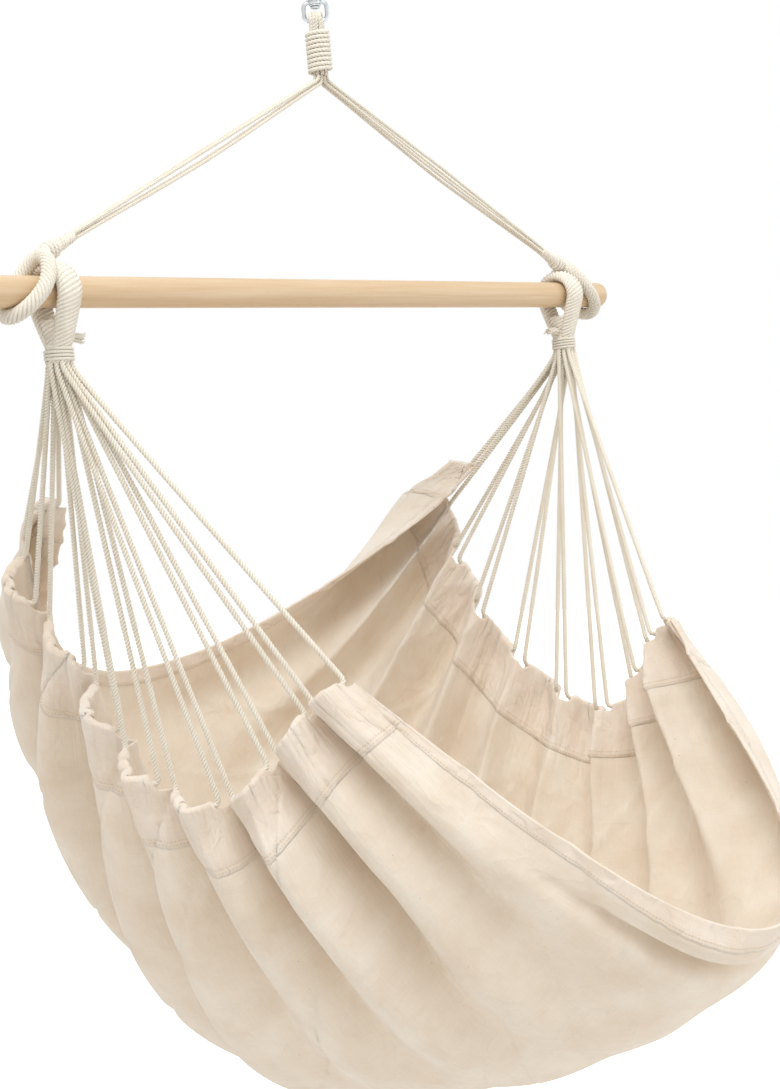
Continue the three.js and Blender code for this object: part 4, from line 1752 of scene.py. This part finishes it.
@dataclass
class SlingSurface:
    """The cloth's middle surface: chains hung from hem to hem, with folds that the cords gather.

    u runs from -1 at the left hem to 1 at the right one, and v from 0 at the front edge to 1 at
    the back edge. Both may be arrays of any shapes that fit together.
    """

    half_width: float = 350 * MM
    depth: float = 900 * MM
    drop: float = 870 * MM
    half_girth: float = 600 * MM
    middle_length: float = 1400 * MM
    hem_depth: float = 76 * MM
    edge_depth: float = 22 * MM
    lobe: float = 22 * MM
    fold_shares: tuple[float, ...] = (0.15, 0.35, 0.85, 1.5, 1.95, 1.9, 1.1)
    tuck: float = 0.2  # share of a fold's depth that its valleys go inwards
    hem_shares: tuple[tuple[float, float, float], ...] = (
        (0.79, -0.225, 0.439), (0.83, -0.18, 0.469), (0.875, -0.14, 0.52),
        (0.915, -0.082, 0.564), (0.95, -0.013, 0.546), (0.945, 0.05, 0.495),
        (0.91, 0.102, 0.423), (0.965, 0.15, 0.345), (1, 0.16, 0.275), (0.99, 0.093, 0.225))
    middle_shares: tuple[tuple[float, float], ...] = (
        (-0.53, 0.755), (-0.455, 0.835), (-0.325, 0.903), (-0.175, 0.962), (-0.02, 0.995),
        (0.12, 0.99), (0.235, 0.92), (0.33, 0.8), (0.38, 0.66), (0.4, 0.54), (0.39, 0.46))
    lobe_shares: tuple[tuple[float, ...], tuple[float, ...]] = (
        (0.7, 1.05, 1.2, 1, 0.9, 1, 1.05, 0.85, 1),
        (1.4, 0.75, 0.9, 0.7, 0.65, 0.8, 0.95, 0.7, 1.3))
    valley_shares: tuple[tuple[float, ...], tuple[float, ...]] = (
        (0, 0.55, 1.1, 1, 0.75, 0.7, 0.6, 0.5, 0.4, 0),
        (0, 1.3, 0.4, 0.75, 0.3, 0.5, 0.35, 0.6, 1, 0))
    valley: float = 15 * MM
    fold_drift: float = 0.015
    fold_variety: float = 0.3
    gather: float = 3.6 * MM
    gather_reach: float = 150 * MM
    crimp: float = 1.6 * MM
    crimp_reach: float = 42 * MM
    soft_fold: float = 7 * MM
    crease: float = 3.4 * MM
    belly: float = 5 * MM
    lip: float = 20 * MM  # how far the front edge curls out
    lip_place: tuple[float, float] = (-0.2, 0.2)  # its middle and width across the cloth
    lip_roll: tuple[float, float] = (26 * MM, 20 * MM)  # its middle below the edge, its width
    lip_crease: tuple[float, float] = (62 * MM, 9 * MM)  # the same for the crease under it
    lip_crease_share: float = 1.2
    seam: float = 1.3 * MM
    seam_above: float = 7 * MM  # from the side hem's edge to the middle of its seams
    pucker: float = 1.9 * MM
    ruck: float = 0.9 * MM
    ruck_cell: float = 30 * MM
    seam_widths: tuple[float, float, float] = (5 * MM, 18 * MM, 9 * MM)  # groove, pucker, ruck
    valley_width: tuple[float, float] = (18 * MM, 34 * MM)  # at the hem, and added at the middle

    def __post_init__(self) -> None:
        """Tabulate the hem, the middle line and the chains between them."""
        self.v = np.linspace(0, 1, 2401)
        scale = np.array([self.half_width, self.depth, -self.drop])
        origin = ALONG_Z * LEVELS.bar
        self.foot = spline(np.array(self.hem_shares) * scale + origin, self.v, 0)
        rows = np.array([(0, *row) for row in self.middle_shares]) * scale + origin
        fine = spline(rows, self.v, 0.5)
        along = shares_along(fine)
        self.middle = np.stack([np.interp(self.v, along, fine[:, k]) for k in range(3)], axis=1)
        sag = np.linalg.norm((self.middle - self.foot)[:, 1:], axis=1)
        low, high = np.full(len(sag), 0.05), np.full(len(sag), 8.0)
        for _ in range(40):
            trial = (low + high) / 2
            flat = (np.cosh(trial) - 1) / trial < sag / self.foot[:, 0]
            low, high = np.where(flat, trial, low), np.where(flat, high, trial)
        self.size, self.sag = self.foot[:, 0] / low, sag
        self.band_edge = 1 - self.hem_depth / self.half_girth
        self.edge_share = self.edge_depth / self.middle_length
        self.noise = [Noise(SEED + k) for k in range(6)]
        places = np.linspace(0, 1, 601)
        stiff = np.interp(places, np.linspace(0, 1, len(self.fold_shares)), self.fold_shares)
        padded = np.pad(stiff, 40, mode="edge")
        self.fold_table = places, np.convolve(padded, np.ones(81) / 81, "valid")

    def smooth(self, u: Array, v: Array) -> Array:
        """Give points of the cloth without its folds.

        Args:
            u: Places across the cloth.
            v: Places along it.

        Returns:
            A point for each place.
        """
        u, v = np.broadcast_arrays(np.asarray(u, float), np.clip(v, 0, 1))
        read = lambda table: np.interp(v, self.v, table)
        foot, middle = ([read(line[:, k]) for k in range(3)] for line in (self.foot, self.middle))
        size, sag = read(self.size), read(self.sag)
        along = u * size * np.sinh(foot[0] / size)
        share = (sag - np.hypot(size, along) + size) / sag
        return np.stack(
            [size * np.arcsinh(along / size), foot[1] + (middle[1] - foot[1]) * share,
             foot[2] + (middle[2] - foot[2]) * share], axis=-1)

    def normal(self, points: Callable[..., Array], u: Array, v: Array) -> Array:
        """Give the outward normals of one of this surface's layers.

        Args:
            points: The method that gives the layer's points.
            u: Places across the cloth.
            v: Places along it.

        Returns:
            A unit vector for each place.
        """
        step = 1.5e-3
        along_u = points(u + step, v) - points(u - step, v)
        along_v = points(u, np.clip(v + step, 0, 1)) - points(u, np.clip(v - step, 0, 1))
        return unit(np.cross(along_v, along_u))

    def point(self, u: Array, v: Array) -> Array:
        """Give points of the cloth with its folds, gathers and wrinkles.

        Args:
            u: Places across the cloth.
            v: Places along it.

        Returns:
            A point for each place.
        """
        u, v = np.broadcast_arrays(np.asarray(u, float), np.clip(v, 0, 1))
        height = self.height(u, v)
        return self.smooth(u, v) + self.normal(self.smooth, u, v) * height[..., None]

    def height(self, u: Array, v: Array) -> Array:
        """Give how far the folds stand out from the smooth cloth.

        Args:
            u: Places across the cloth.
            v: Places along it, of the same shape.

        Returns:
            Heights in metres.
        """
        a = np.abs(u)
        half = np.where(u < 0, 31.0, 0.0)
        inside = smooth_step((1 - a) / 0.14)
        drift = self.fold_drift * self.noise[0].at(v * 7 + half, a * 3) * inside
        lobe = LOBES * (v + drift * smooth_step(v / 0.04) * smooth_step((1 - v) / 0.04))
        sharp = np.interp(a, [0, 0.3, 0.75, 0.95, 1], [2.0, 1.8, 1.4, 1.4, 1.5])
        wave = np.abs(np.sin(math.pi * np.clip(lobe, 0, LOBES))) ** sharp
        variety = 1 + self.fold_variety * self.noise[1].at(lobe * 0.77 + half, a * 2) * inside
        centres = np.arange(LOBES) + 0.5
        depth = [np.interp(lobe, centres, shares) for shares in self.lobe_shares]
        depth = 1 + (np.where(u < 0, *depth) - 1) * inside * smooth_step(a / 0.3)
        wave = wave * variety * depth
        wave = wave - self.tuck * smooth_step((1 - a) / 0.2) * smooth_step(a / 0.5)
        fold = self.lobe * np.interp(a, *self.fold_table) * wave
        away = (1 - a) * self.half_girth
        near = bell(away, self.gather_reach)
        gather = self.gather * near * self.noise[2].rough(v * 61 + half, a * 3.0, 2)
        rim = bell(away, self.crimp_reach)
        crimp = self.crimp * rim * self.noise[0].rough(v * 84 + half, a * 7.0, 2)
        middle = smooth_step(a / 0.3) * smooth_step((0.97 - a) / 0.25)
        soft = self.soft_fold * middle * self.noise[3].rough(v * 15 + half, a * 1.6, 2)
        line = self.noise[4].at(v * 19 + a * 5 + half, a * 3.1 + v * 6)
        crease = -self.crease * smooth_step(a / 0.3) * np.maximum(1 - np.abs(line) / 0.22, 0) ** 2
        belly = self.belly * (1 - near) * self.noise[4].rough(v * 5 + 3, u * 2.5 + 9, 2)
        valley = self.valleys(u, a, lobe)
        depth = v * self.middle_length
        (rolled, roll_width), (creased, crease_width) = self.lip_roll, self.lip_crease
        roll = bell(depth - rolled, roll_width)
        roll = roll - self.lip_crease_share * bell(depth - creased, crease_width)
        lip = self.lip * roll * bell(u - self.lip_place[0], self.lip_place[1])
        return fold + gather + crimp + soft + crease + belly + valley + lip + self.sewn(a, v, half)

    def valleys(self, u: Array, a: Array, lobe: Array) -> Array:
        """Give how deep the cloth is drawn in between the lobes, below the side hems.

        Args:
            u: Places across the cloth.
            a: Places from the middle to the side hem.
            lobe: Places along it, counted in lobes.

        Returns:
            Heights in metres.
        """
        between = np.clip(np.rint(lobe), 0, LOBES)
        borders = np.arange(LOBES + 1)
        shares = [np.interp(between, borders, row) for row in self.valley_shares]
        off = (lobe - between) * self.middle_length / LOBES
        narrow, wider = self.valley_width
        width = narrow + wider * (1 - a)
        reach = smooth_step((a - 0.22) / 0.5) * (1 - 0.75 * smooth_step((a - 0.9) / 0.1))
        return -self.valley * np.where(u < 0, *shares) * reach / (1 + (off / width) ** 2) ** 2

    def sewn(self, a: Array, v: Array, half: Array) -> Array:
        """Give the grooves and puckers that the hems' seams draw in the cloth.

        Args:
            a: Places from the middle to the side hem.
            v: Places along the cloth.
            half: A shift of the noise between the two halves.

        Returns:
            Heights in metres.
        """
        off = (a - self.band_edge) * self.half_girth - self.seam_above
        pucker = self.noise[5].at(v * 130 + half, off / self.ruck_cell)
        groove, wide, narrow = self.seam_widths
        side = self.pucker * bell(off, wide) * pucker - self.seam * bell(off, groove)
        edge = np.minimum(v, 1 - v) * self.middle_length - self.edge_depth * 0.85
        ruck = self.noise[5].at(a * 60 + 7 + half, edge / self.ruck_cell)
        rim = self.ruck * bell(edge, narrow) * ruck * smooth_step((0.95 - a) / 0.1)
        return side + rim

    def faces_at(
        self, u: Array, v: Array, outer: Array | float, inner: Array | float
    ) -> tuple[Array, Array]:
        """Give the cloth's outer and inner faces.

        Args:
            u: Places across the cloth.
            v: Places along it.
            outer: How far the outer face lies from the middle surface.
            inner: How far the inner face lies from it, to the other side.

        Returns:
            The points of both faces.
        """
        u, v = np.broadcast_arrays(np.asarray(u, float), np.asarray(v, float))
        points, normals = self.point(u, v), self.normal(self.point, u, v)
        spread = lambda value: np.broadcast_to(value, u.shape)[..., None]
        return points + normals * spread(outer), points - normals * spread(inner)

    def flat(self, u: Array, v: Array) -> Array:
        """Give each place's spot on the cloth before it was gathered, in metres."""
        u, v = np.broadcast_arrays(np.asarray(u, float), np.asarray(v, float))
        return np.stack([u * self.half_girth, v * self.middle_length], axis=-1)


def closed_sheet(name: str, outer: Array, inner: Array, flat: Array) -> Piece:
    """Close a sheet's two faces round its rim.

    Args:
        name: The piece's name.
        outer: The outer face's grid of points.
        inner: The inner face's grid.
        flat: The flat map's place for each point of the grid.

    Returns:
        The closed piece.
    """
    rows, columns = outer.shape[:2]
    count = rows * columns
    top = grid_faces(rows, columns)
    under = [[i + count for i in reversed(face)] for face in top]
    rim = (
        list(range(columns))
        + [i * columns + columns - 1 for i in range(1, rows)]
        + [(rows - 1) * columns + j for j in range(columns - 2, -1, -1)]
        + [i * columns for i in range(rows - 2, 0, -1)]
    )
    edge = [[a, a + count, b + count, b] for a, b in zip(rim, rim[1:] + rim[:1])]
    points = np.concatenate([outer.reshape(-1, 3), inner.reshape(-1, 3)])
    both = np.concatenate([flat.reshape(-1, 2)] * 2)
    return new_piece(name, points, top + under + edge, flat=both)


@dataclass
class Seat(Ropework):
    """The cotton sling: its panel, rolled front and back hems and the gathered side hems."""

    surface: SlingSurface = field(default_factory=SlingSurface)
    cloth: float = 1.8 * MM
    edge_thickness: float = 3.6 * MM
    hem_thickness: float = 3.0 * MM
    tunnel: float = 5.3 * MM
    notch: float = 6.5 * MM
    swell: float = 44 * MM
    slot: float = 0.17
    rows: int = 34
    columns: int = 150
    thread: float = 0.8 * MM  # real thread is 0.5 mm, too fine to show
    stitch: float = 2.7 * MM
    stitch_pitch: float = 3.6 * MM
    seams_up: tuple[float, float] = (4 * MM, 9 * MM)  # above the side hem's lower edge
    overlap: float = 3 * MM  # how far the panel runs in behind the side hems
    rim: float = 0.15 * MM
    hem_rows: int = 52
    hem_columns: int = 36

    @property
    def reach(self) -> float:
        """Where the panel ends behind the side hems."""
        return self.surface.band_edge + self.overlap / self.surface.half_girth

    def build(self) -> None:
        s, looks = self.surface, self.finishes
        panel = dress(self.panel(), "sling", looks.canvas, ["seat_cloth"])
        for name, near in (("front_hem", True), ("back_hem", False)):
            hem = self.edge_hem(name, near)
            dress(hem, "sling", looks.hemming, [name])
        for side in Side:
            hem = self.side_hem(side)
            dress(hem, "sling", looks.hemming, [f"side_hem_{side.word}"])
            dress(self.side_stitches(side), "sling", looks.thread)
        dress(self.edge_stitches(), "sling", looks.thread)

    def panel(self) -> Piece:
        """Hang the panel between the side hems.

        Returns:
            The piece.
        """
        s = self.surface
        lean = np.linspace(-1, 1, self.columns)
        u = self.reach * (0.72 * lean + 0.28 * np.sin(lean * math.pi / 2))[None, :]
        v = np.linspace(0.5, 1, LOBES * self.rows // 2 + 1)
        v = np.concatenate([1 - v[::-1], v[1:]])
        inset = s.edge_share * 0.7
        v = (inset + (1 - 2 * inset) * v)[:, None]
        outer, inner = s.faces_at(u, v, self.cloth / 2, self.cloth / 2)
        return closed_sheet("canvas_seat", outer, inner, s.flat(u, v))

    def edge_hem(self, name: str, is_front: bool) -> Piece:
        """Roll the hem of the front or the back edge.

        Args:
            name: The piece's name.
            is_front: Whether it is the front edge's hem.

        Returns:
            The closed piece.
        """
        s = self.surface
        u = np.linspace(-self.reach, self.reach, 260)[:, None]
        angle = np.linspace(0, math.pi / 2, 5)
        roll = self.edge_thickness / 2
        down = np.concatenate([np.linspace(s.edge_depth, roll, 9), roll * (1 - np.sin(angle[1:]))])
        half = np.concatenate([np.full(9, roll), roll * np.cos(angle[1:])])
        half[0] *= 0.72
        share = down[None, :] / s.middle_length
        v = share if is_front else 1 - share
        outer, inner = s.faces_at(u, v, half[None, :], half[None, :])
        return tidy(closed_sheet(f"rolled_{name}", outer, inner, s.flat(u, v)))

    def side_hem(self, side: Side) -> Piece:
        """Fold a side hem, with a tunnel in each lobe for its cord.

        Args:
            side: Which hem it is.

        Returns:
            The closed piece.
        """
        s = self.surface
        v = np.linspace(0, 1, LOBES * self.hem_rows + 1)[:, None]
        place = np.abs((v * LOBES) % 1 - 0.5)
        open_ = 1 - smooth_step((place - (0.5 - self.slot - 0.04)) / 0.09)
        wavy = s.noise[2].at(v * 150 + 4 * side.value, 0.5 + 0 * v)
        flat = self.hem_thickness / 2
        pleated = (0.3 + 1.2 * place) * wavy
        full = flat + (self.tunnel - flat) * open_ * (1 + pleated)
        top = full * open_ + (1 - open_) * (0.5 * wavy - 1) * self.notch
        share = 1 - (1 - np.linspace(0, 1, self.hem_columns)[None, :]) ** 1.7
        drop = -s.hem_depth + share * (s.hem_depth + top)
        below = top - drop
        body = flat + (full - flat) * smooth_step(1 - below / self.swell)
        close = body * np.sqrt(1 - np.clip(1 - below / body, 0, 1) ** 2)
        close[:, 0] *= 0.7
        close[:, -1] = self.rim
        u = side.value * (1 + drop / s.half_girth)
        outer, inner = s.faces_at(u, v + 0 * u, close, close)
        return tidy(closed_sheet(f"gathered_hem_{side.word}", outer, inner, s.flat(u, v)))

    def sewn(self, name: str, seams: Sequence[tuple[Array, Array]], away: float) -> Piece:
        """Sew stitches along seams, on both faces of the cloth.

        Args:
            name: The piece's name.
            seams: Each seam's places across the cloth and along it.
            away: How far the stitches' middles lie from the middle surface.

        Returns:
            The plain mesh.
        """
        lines = [line for u, v in seams for line in self.surface.faces_at(u, v, away, away)]
        piece = merged(name, [line_piece("line", line) for line in lines])
        return self.trees.sewn.run(
            piece, Pitch=self.stitch_pitch, Length=self.stitch, Thread=self.thread,
            Material=self.finishes.thread)

    def side_stitches(self, side: Side) -> Piece:
        """Sew a side hem's double seam.

        Args:
            side: Which hem it is.

        Returns:
            The stitches.
        """
        s = self.surface
        v = np.linspace(0.004, 0.996, 900)
        seams = [
            (side.value * (s.band_edge + up / s.half_girth) + 0 * v, v) for up in self.seams_up]
        return self.sewn(f"hem_stitches_{side.word}", seams, self.hem_thickness / 2)

    def edge_stitches(self) -> Piece:
        """Sew the seams of the front and back hems.

        Returns:
            The stitches.
        """
        s = self.surface
        u = np.linspace(-s.band_edge, s.band_edge, 700)
        depth = 0.8 * s.edge_share
        seams = [(u, place + 0 * u) for place in (depth, 1 - depth)]
        return self.sewn("edge_stitches", seams, self.edge_thickness / 2)


@dataclass
class CordFan(Ropework):
    """The nine cord loops on each side, from the collar through the hem's tunnels and back."""

    surface: SlingSurface = field(default_factory=SlingSurface)
    cord: float = 5.8 * MM
    gap: float = 0.2 * MM
    slot: float = 0.17
    rows: tuple[int, ...] = (3, 4, 4, 4, 3)
    into_collar: float = 6 * MM
    drawn_share: float = 0.78  # the cords' spacing inside the collar, beside that below it
    tunnel_points: int = 13

    def places(self) -> Array:
        """Give the cords' places in the round bundle under the collar, front to back.

        Returns:
            A place for each strand, sideways and from front to back.
        """
        found = []
        for row, count in enumerate(self.rows):
            middle = row == len(self.rows) // 2
            line = [-2.0, -1.0, 1.0, 2.0] if middle else list(np.arange(count) - (count - 1) / 2)
            height = (row - 2) * math.sin(math.pi / 3)
            ordered = line[::-1] if row == len(self.rows) - 1 else line
            found += [(place, height) for place in ordered]
        return np.array(found) * (self.cord + self.gap)

    def rise(self, side: Side, mouth: Array, inside: Array, place: Array) -> Array:
        """Give a cord's route from a tunnel's mouth up to the collar.

        Args:
            side: Which side's fan it is in.
            mouth: The tunnel's mouth.
            inside: The next point inside the tunnel.
            place: The cord's place in the bundle.

        Returns:
            The route.
        """
        top = np.array([
            side.value * (LEVELS.loop_centre + place[0]), place[1],
            LEVELS.flare_bottom - LEVELS.clearance])
        stub = top - ALONG_Z * self.cord
        corner = mouth + unit(mouth - inside) * self.cord
        after = corner + unit(stub - corner) * 1.6 * self.cord
        inner = np.array([
            side.value * (LEVELS.loop_centre + self.drawn_share * place[0]),
            self.drawn_share * place[1], LEVELS.waist_bottom + self.into_collar])
        return np.vstack([bend(mouth, corner, after), after, bend(after, stub, top), top, inner])

    def build(self) -> None:
        places = self.places()
        for side in Side:
            for lobe in range(LOBES):
                v = (lobe + np.linspace(self.slot, 1 - self.slot, self.tunnel_points)) / LOBES
                tunnel = self.surface.point(side.value + 0 * v, v)
                first = self.rise(side, tunnel[0], tunnel[1], places[2 * lobe])
                last = self.rise(side, tunnel[-1], tunnel[-2], places[2 * lobe + 1])
                number = f"{side.word}_{lobe + 1}"
                self.strung(
                    f"laid_cord_{number}", np.vstack([first[::-1], tunnel, last]), self.cord,
                    "sling", f"cord_loop_{number}")


# Studio


@dataclass(frozen=True)
class Lamp:
    """A square soft lamp, whose place is counted from the chair's middle."""

    name: str
    place: tuple[float, float, float]
    size: float
    watts: float


@dataclass
class Studio:
    """A plain soft studio: a pale floor, a white backdrop, two large lamps and the camera."""

    camera_place: tuple[float, float, float] = (-1.89476, -1.56955, -0.54228)
    camera_right: tuple[float, float, float] = (0.62369, -0.77688, -0.08638)
    camera_up: tuple[float, float, float] = (0.08146, -0.04531, 0.99565)
    lens: float = 75.67
    floor_height: float = -1.72
    floor_half: float = 12.0
    floor_colour: str = "#E9E7E4"
    floor_glow: float = 0.7
    sky: float = 0.78
    middle: tuple[float, float, float] = (0.0, 0.0, -0.75)
    lamps: tuple[Lamp, ...] = (
        Lamp("key_lamp", (-1.9, -1.4, 3.9), 2.6, 114.0),
        Lamp("fill_lamp", (2.2, -3.0, 0.6), 3.0, 26.0))
    daylight: tuple[float, float, float] = (0.96, 0.985, 1.0)

    def build(self) -> None:
        """Set up the studio."""
        scene = bpy.context.scene
        scene.view_settings.view_transform = "Standard"
        self.camera(scene)
        self.floor()
        self.world(scene)
        for lamp in self.lamps:
            self.hang(lamp)

    def camera(self, scene: bpy.types.Scene) -> None:
        """Place the camera at the photograph's angle.

        Args:
            scene: The scene that it looks at.
        """
        data = bpy.data.cameras.new("camera")
        data.lens, data.sensor_width, data.sensor_fit = self.lens, 36.0, "AUTO"
        camera = bpy.data.objects.new("camera", data)
        right, up = np.array(self.camera_right), np.array(self.camera_up)
        back = np.cross(right, up)
        rotation = Matrix(np.stack([right, up, back], axis=1).tolist()).to_4x4()
        camera.matrix_world = Matrix.Translation(self.camera_place) @ rotation
        scene.collection.objects.link(camera)
        scene.camera = camera

    def floor(self) -> None:
        """Lay the pale floor, which the camera sees as white round the chair's shadow."""
        h, z = self.floor_half, self.floor_height
        corners = [(-h, -h, z), (h, -h, z), (h, h, z), (-h, h, z)]
        floor = new_piece("floor", np.array(corners), [[0, 1, 2, 3]])
        material, tree, shader = started("pale_floor")
        feed(tree, shader, {
            "Base Color": linear(self.floor_colour), "Roughness": 0.9,
            "Emission Color": (1, 1, 1, 1),
            "Emission Strength": seen_directly(tree, self.floor_glow)})
        floor.data.materials.append(material)

    def world(self, scene: bpy.types.Scene) -> None:
        """Surround the scene with soft light, seen as white.

        Args:
            scene: The scene.
        """
        world = bpy.data.worlds.new("studio")
        world.use_nodes = True
        tree = world.node_tree
        seen = seen_directly(tree, 1 - self.sky)
        share = add(tree, MATH, (seen, self.sky), operation="ADD")[0]
        feed(tree, tree.nodes["Background"], {"Color": (1, 1, 1, 1), "Strength": share})
        scene.world = world

    def hang(self, lamp: Lamp) -> None:
        """Hang a lamp that faces the chair's middle.

        Args:
            lamp: The lamp.
        """
        data = bpy.data.lights.new(lamp.name, "AREA")
        data.shape, data.size, data.energy = "SQUARE", lamp.size, lamp.watts
        data.color = self.daylight
        piece = bpy.data.objects.new(lamp.name, data)
        place = np.array(self.middle) + lamp.place
        back = unit(place - self.middle)
        right = unit(np.cross(ALONG_Z, back))
        axes = np.stack([right, np.cross(back, right), back], axis=1)
        piece.matrix_world = Matrix.Translation(place) @ Matrix(axes.tolist()).to_4x4()
        bpy.context.scene.collection.objects.link(piece)


def seen_directly(tree: NodeTree, amount: float) -> Socket:
    """Give an amount where the camera, a reflection or a clear piece sees a surface.

    Args:
        tree: The world's or material's tree.
        amount: The number there; it is 0 elsewhere.

    Returns:
        The number's socket.
    """
    path = add(tree, "ShaderNodeLightPath")
    seen = path["Is Camera Ray"]
    for ray in ("Is Glossy Ray", "Is Transmission Ray"):
        seen = add(tree, MATH, (seen, path[ray]), operation="MAXIMUM")[0]
    return add(tree, MATH, (seen, amount), operation="MULTIPLY")[0]


def main() -> None:
    """Build the studio and the chair."""
    logging.basicConfig(level=logging.INFO, format="%(message)s")
    Studio().build()
    finishes, trees, surface = Finishes(), Trees(), SlingSurface()
    CordFan(finishes, trees, surface).build()
    Bridle(finishes, trees).build()
    Swivel(finishes).build()
    RopeEye(finishes, trees).build()
    SpreaderBar(finishes).build()
    SlingLoop(finishes, trees).build()
    Seat(finishes, trees, surface).build()


if __name__ == "__main__":
    main()
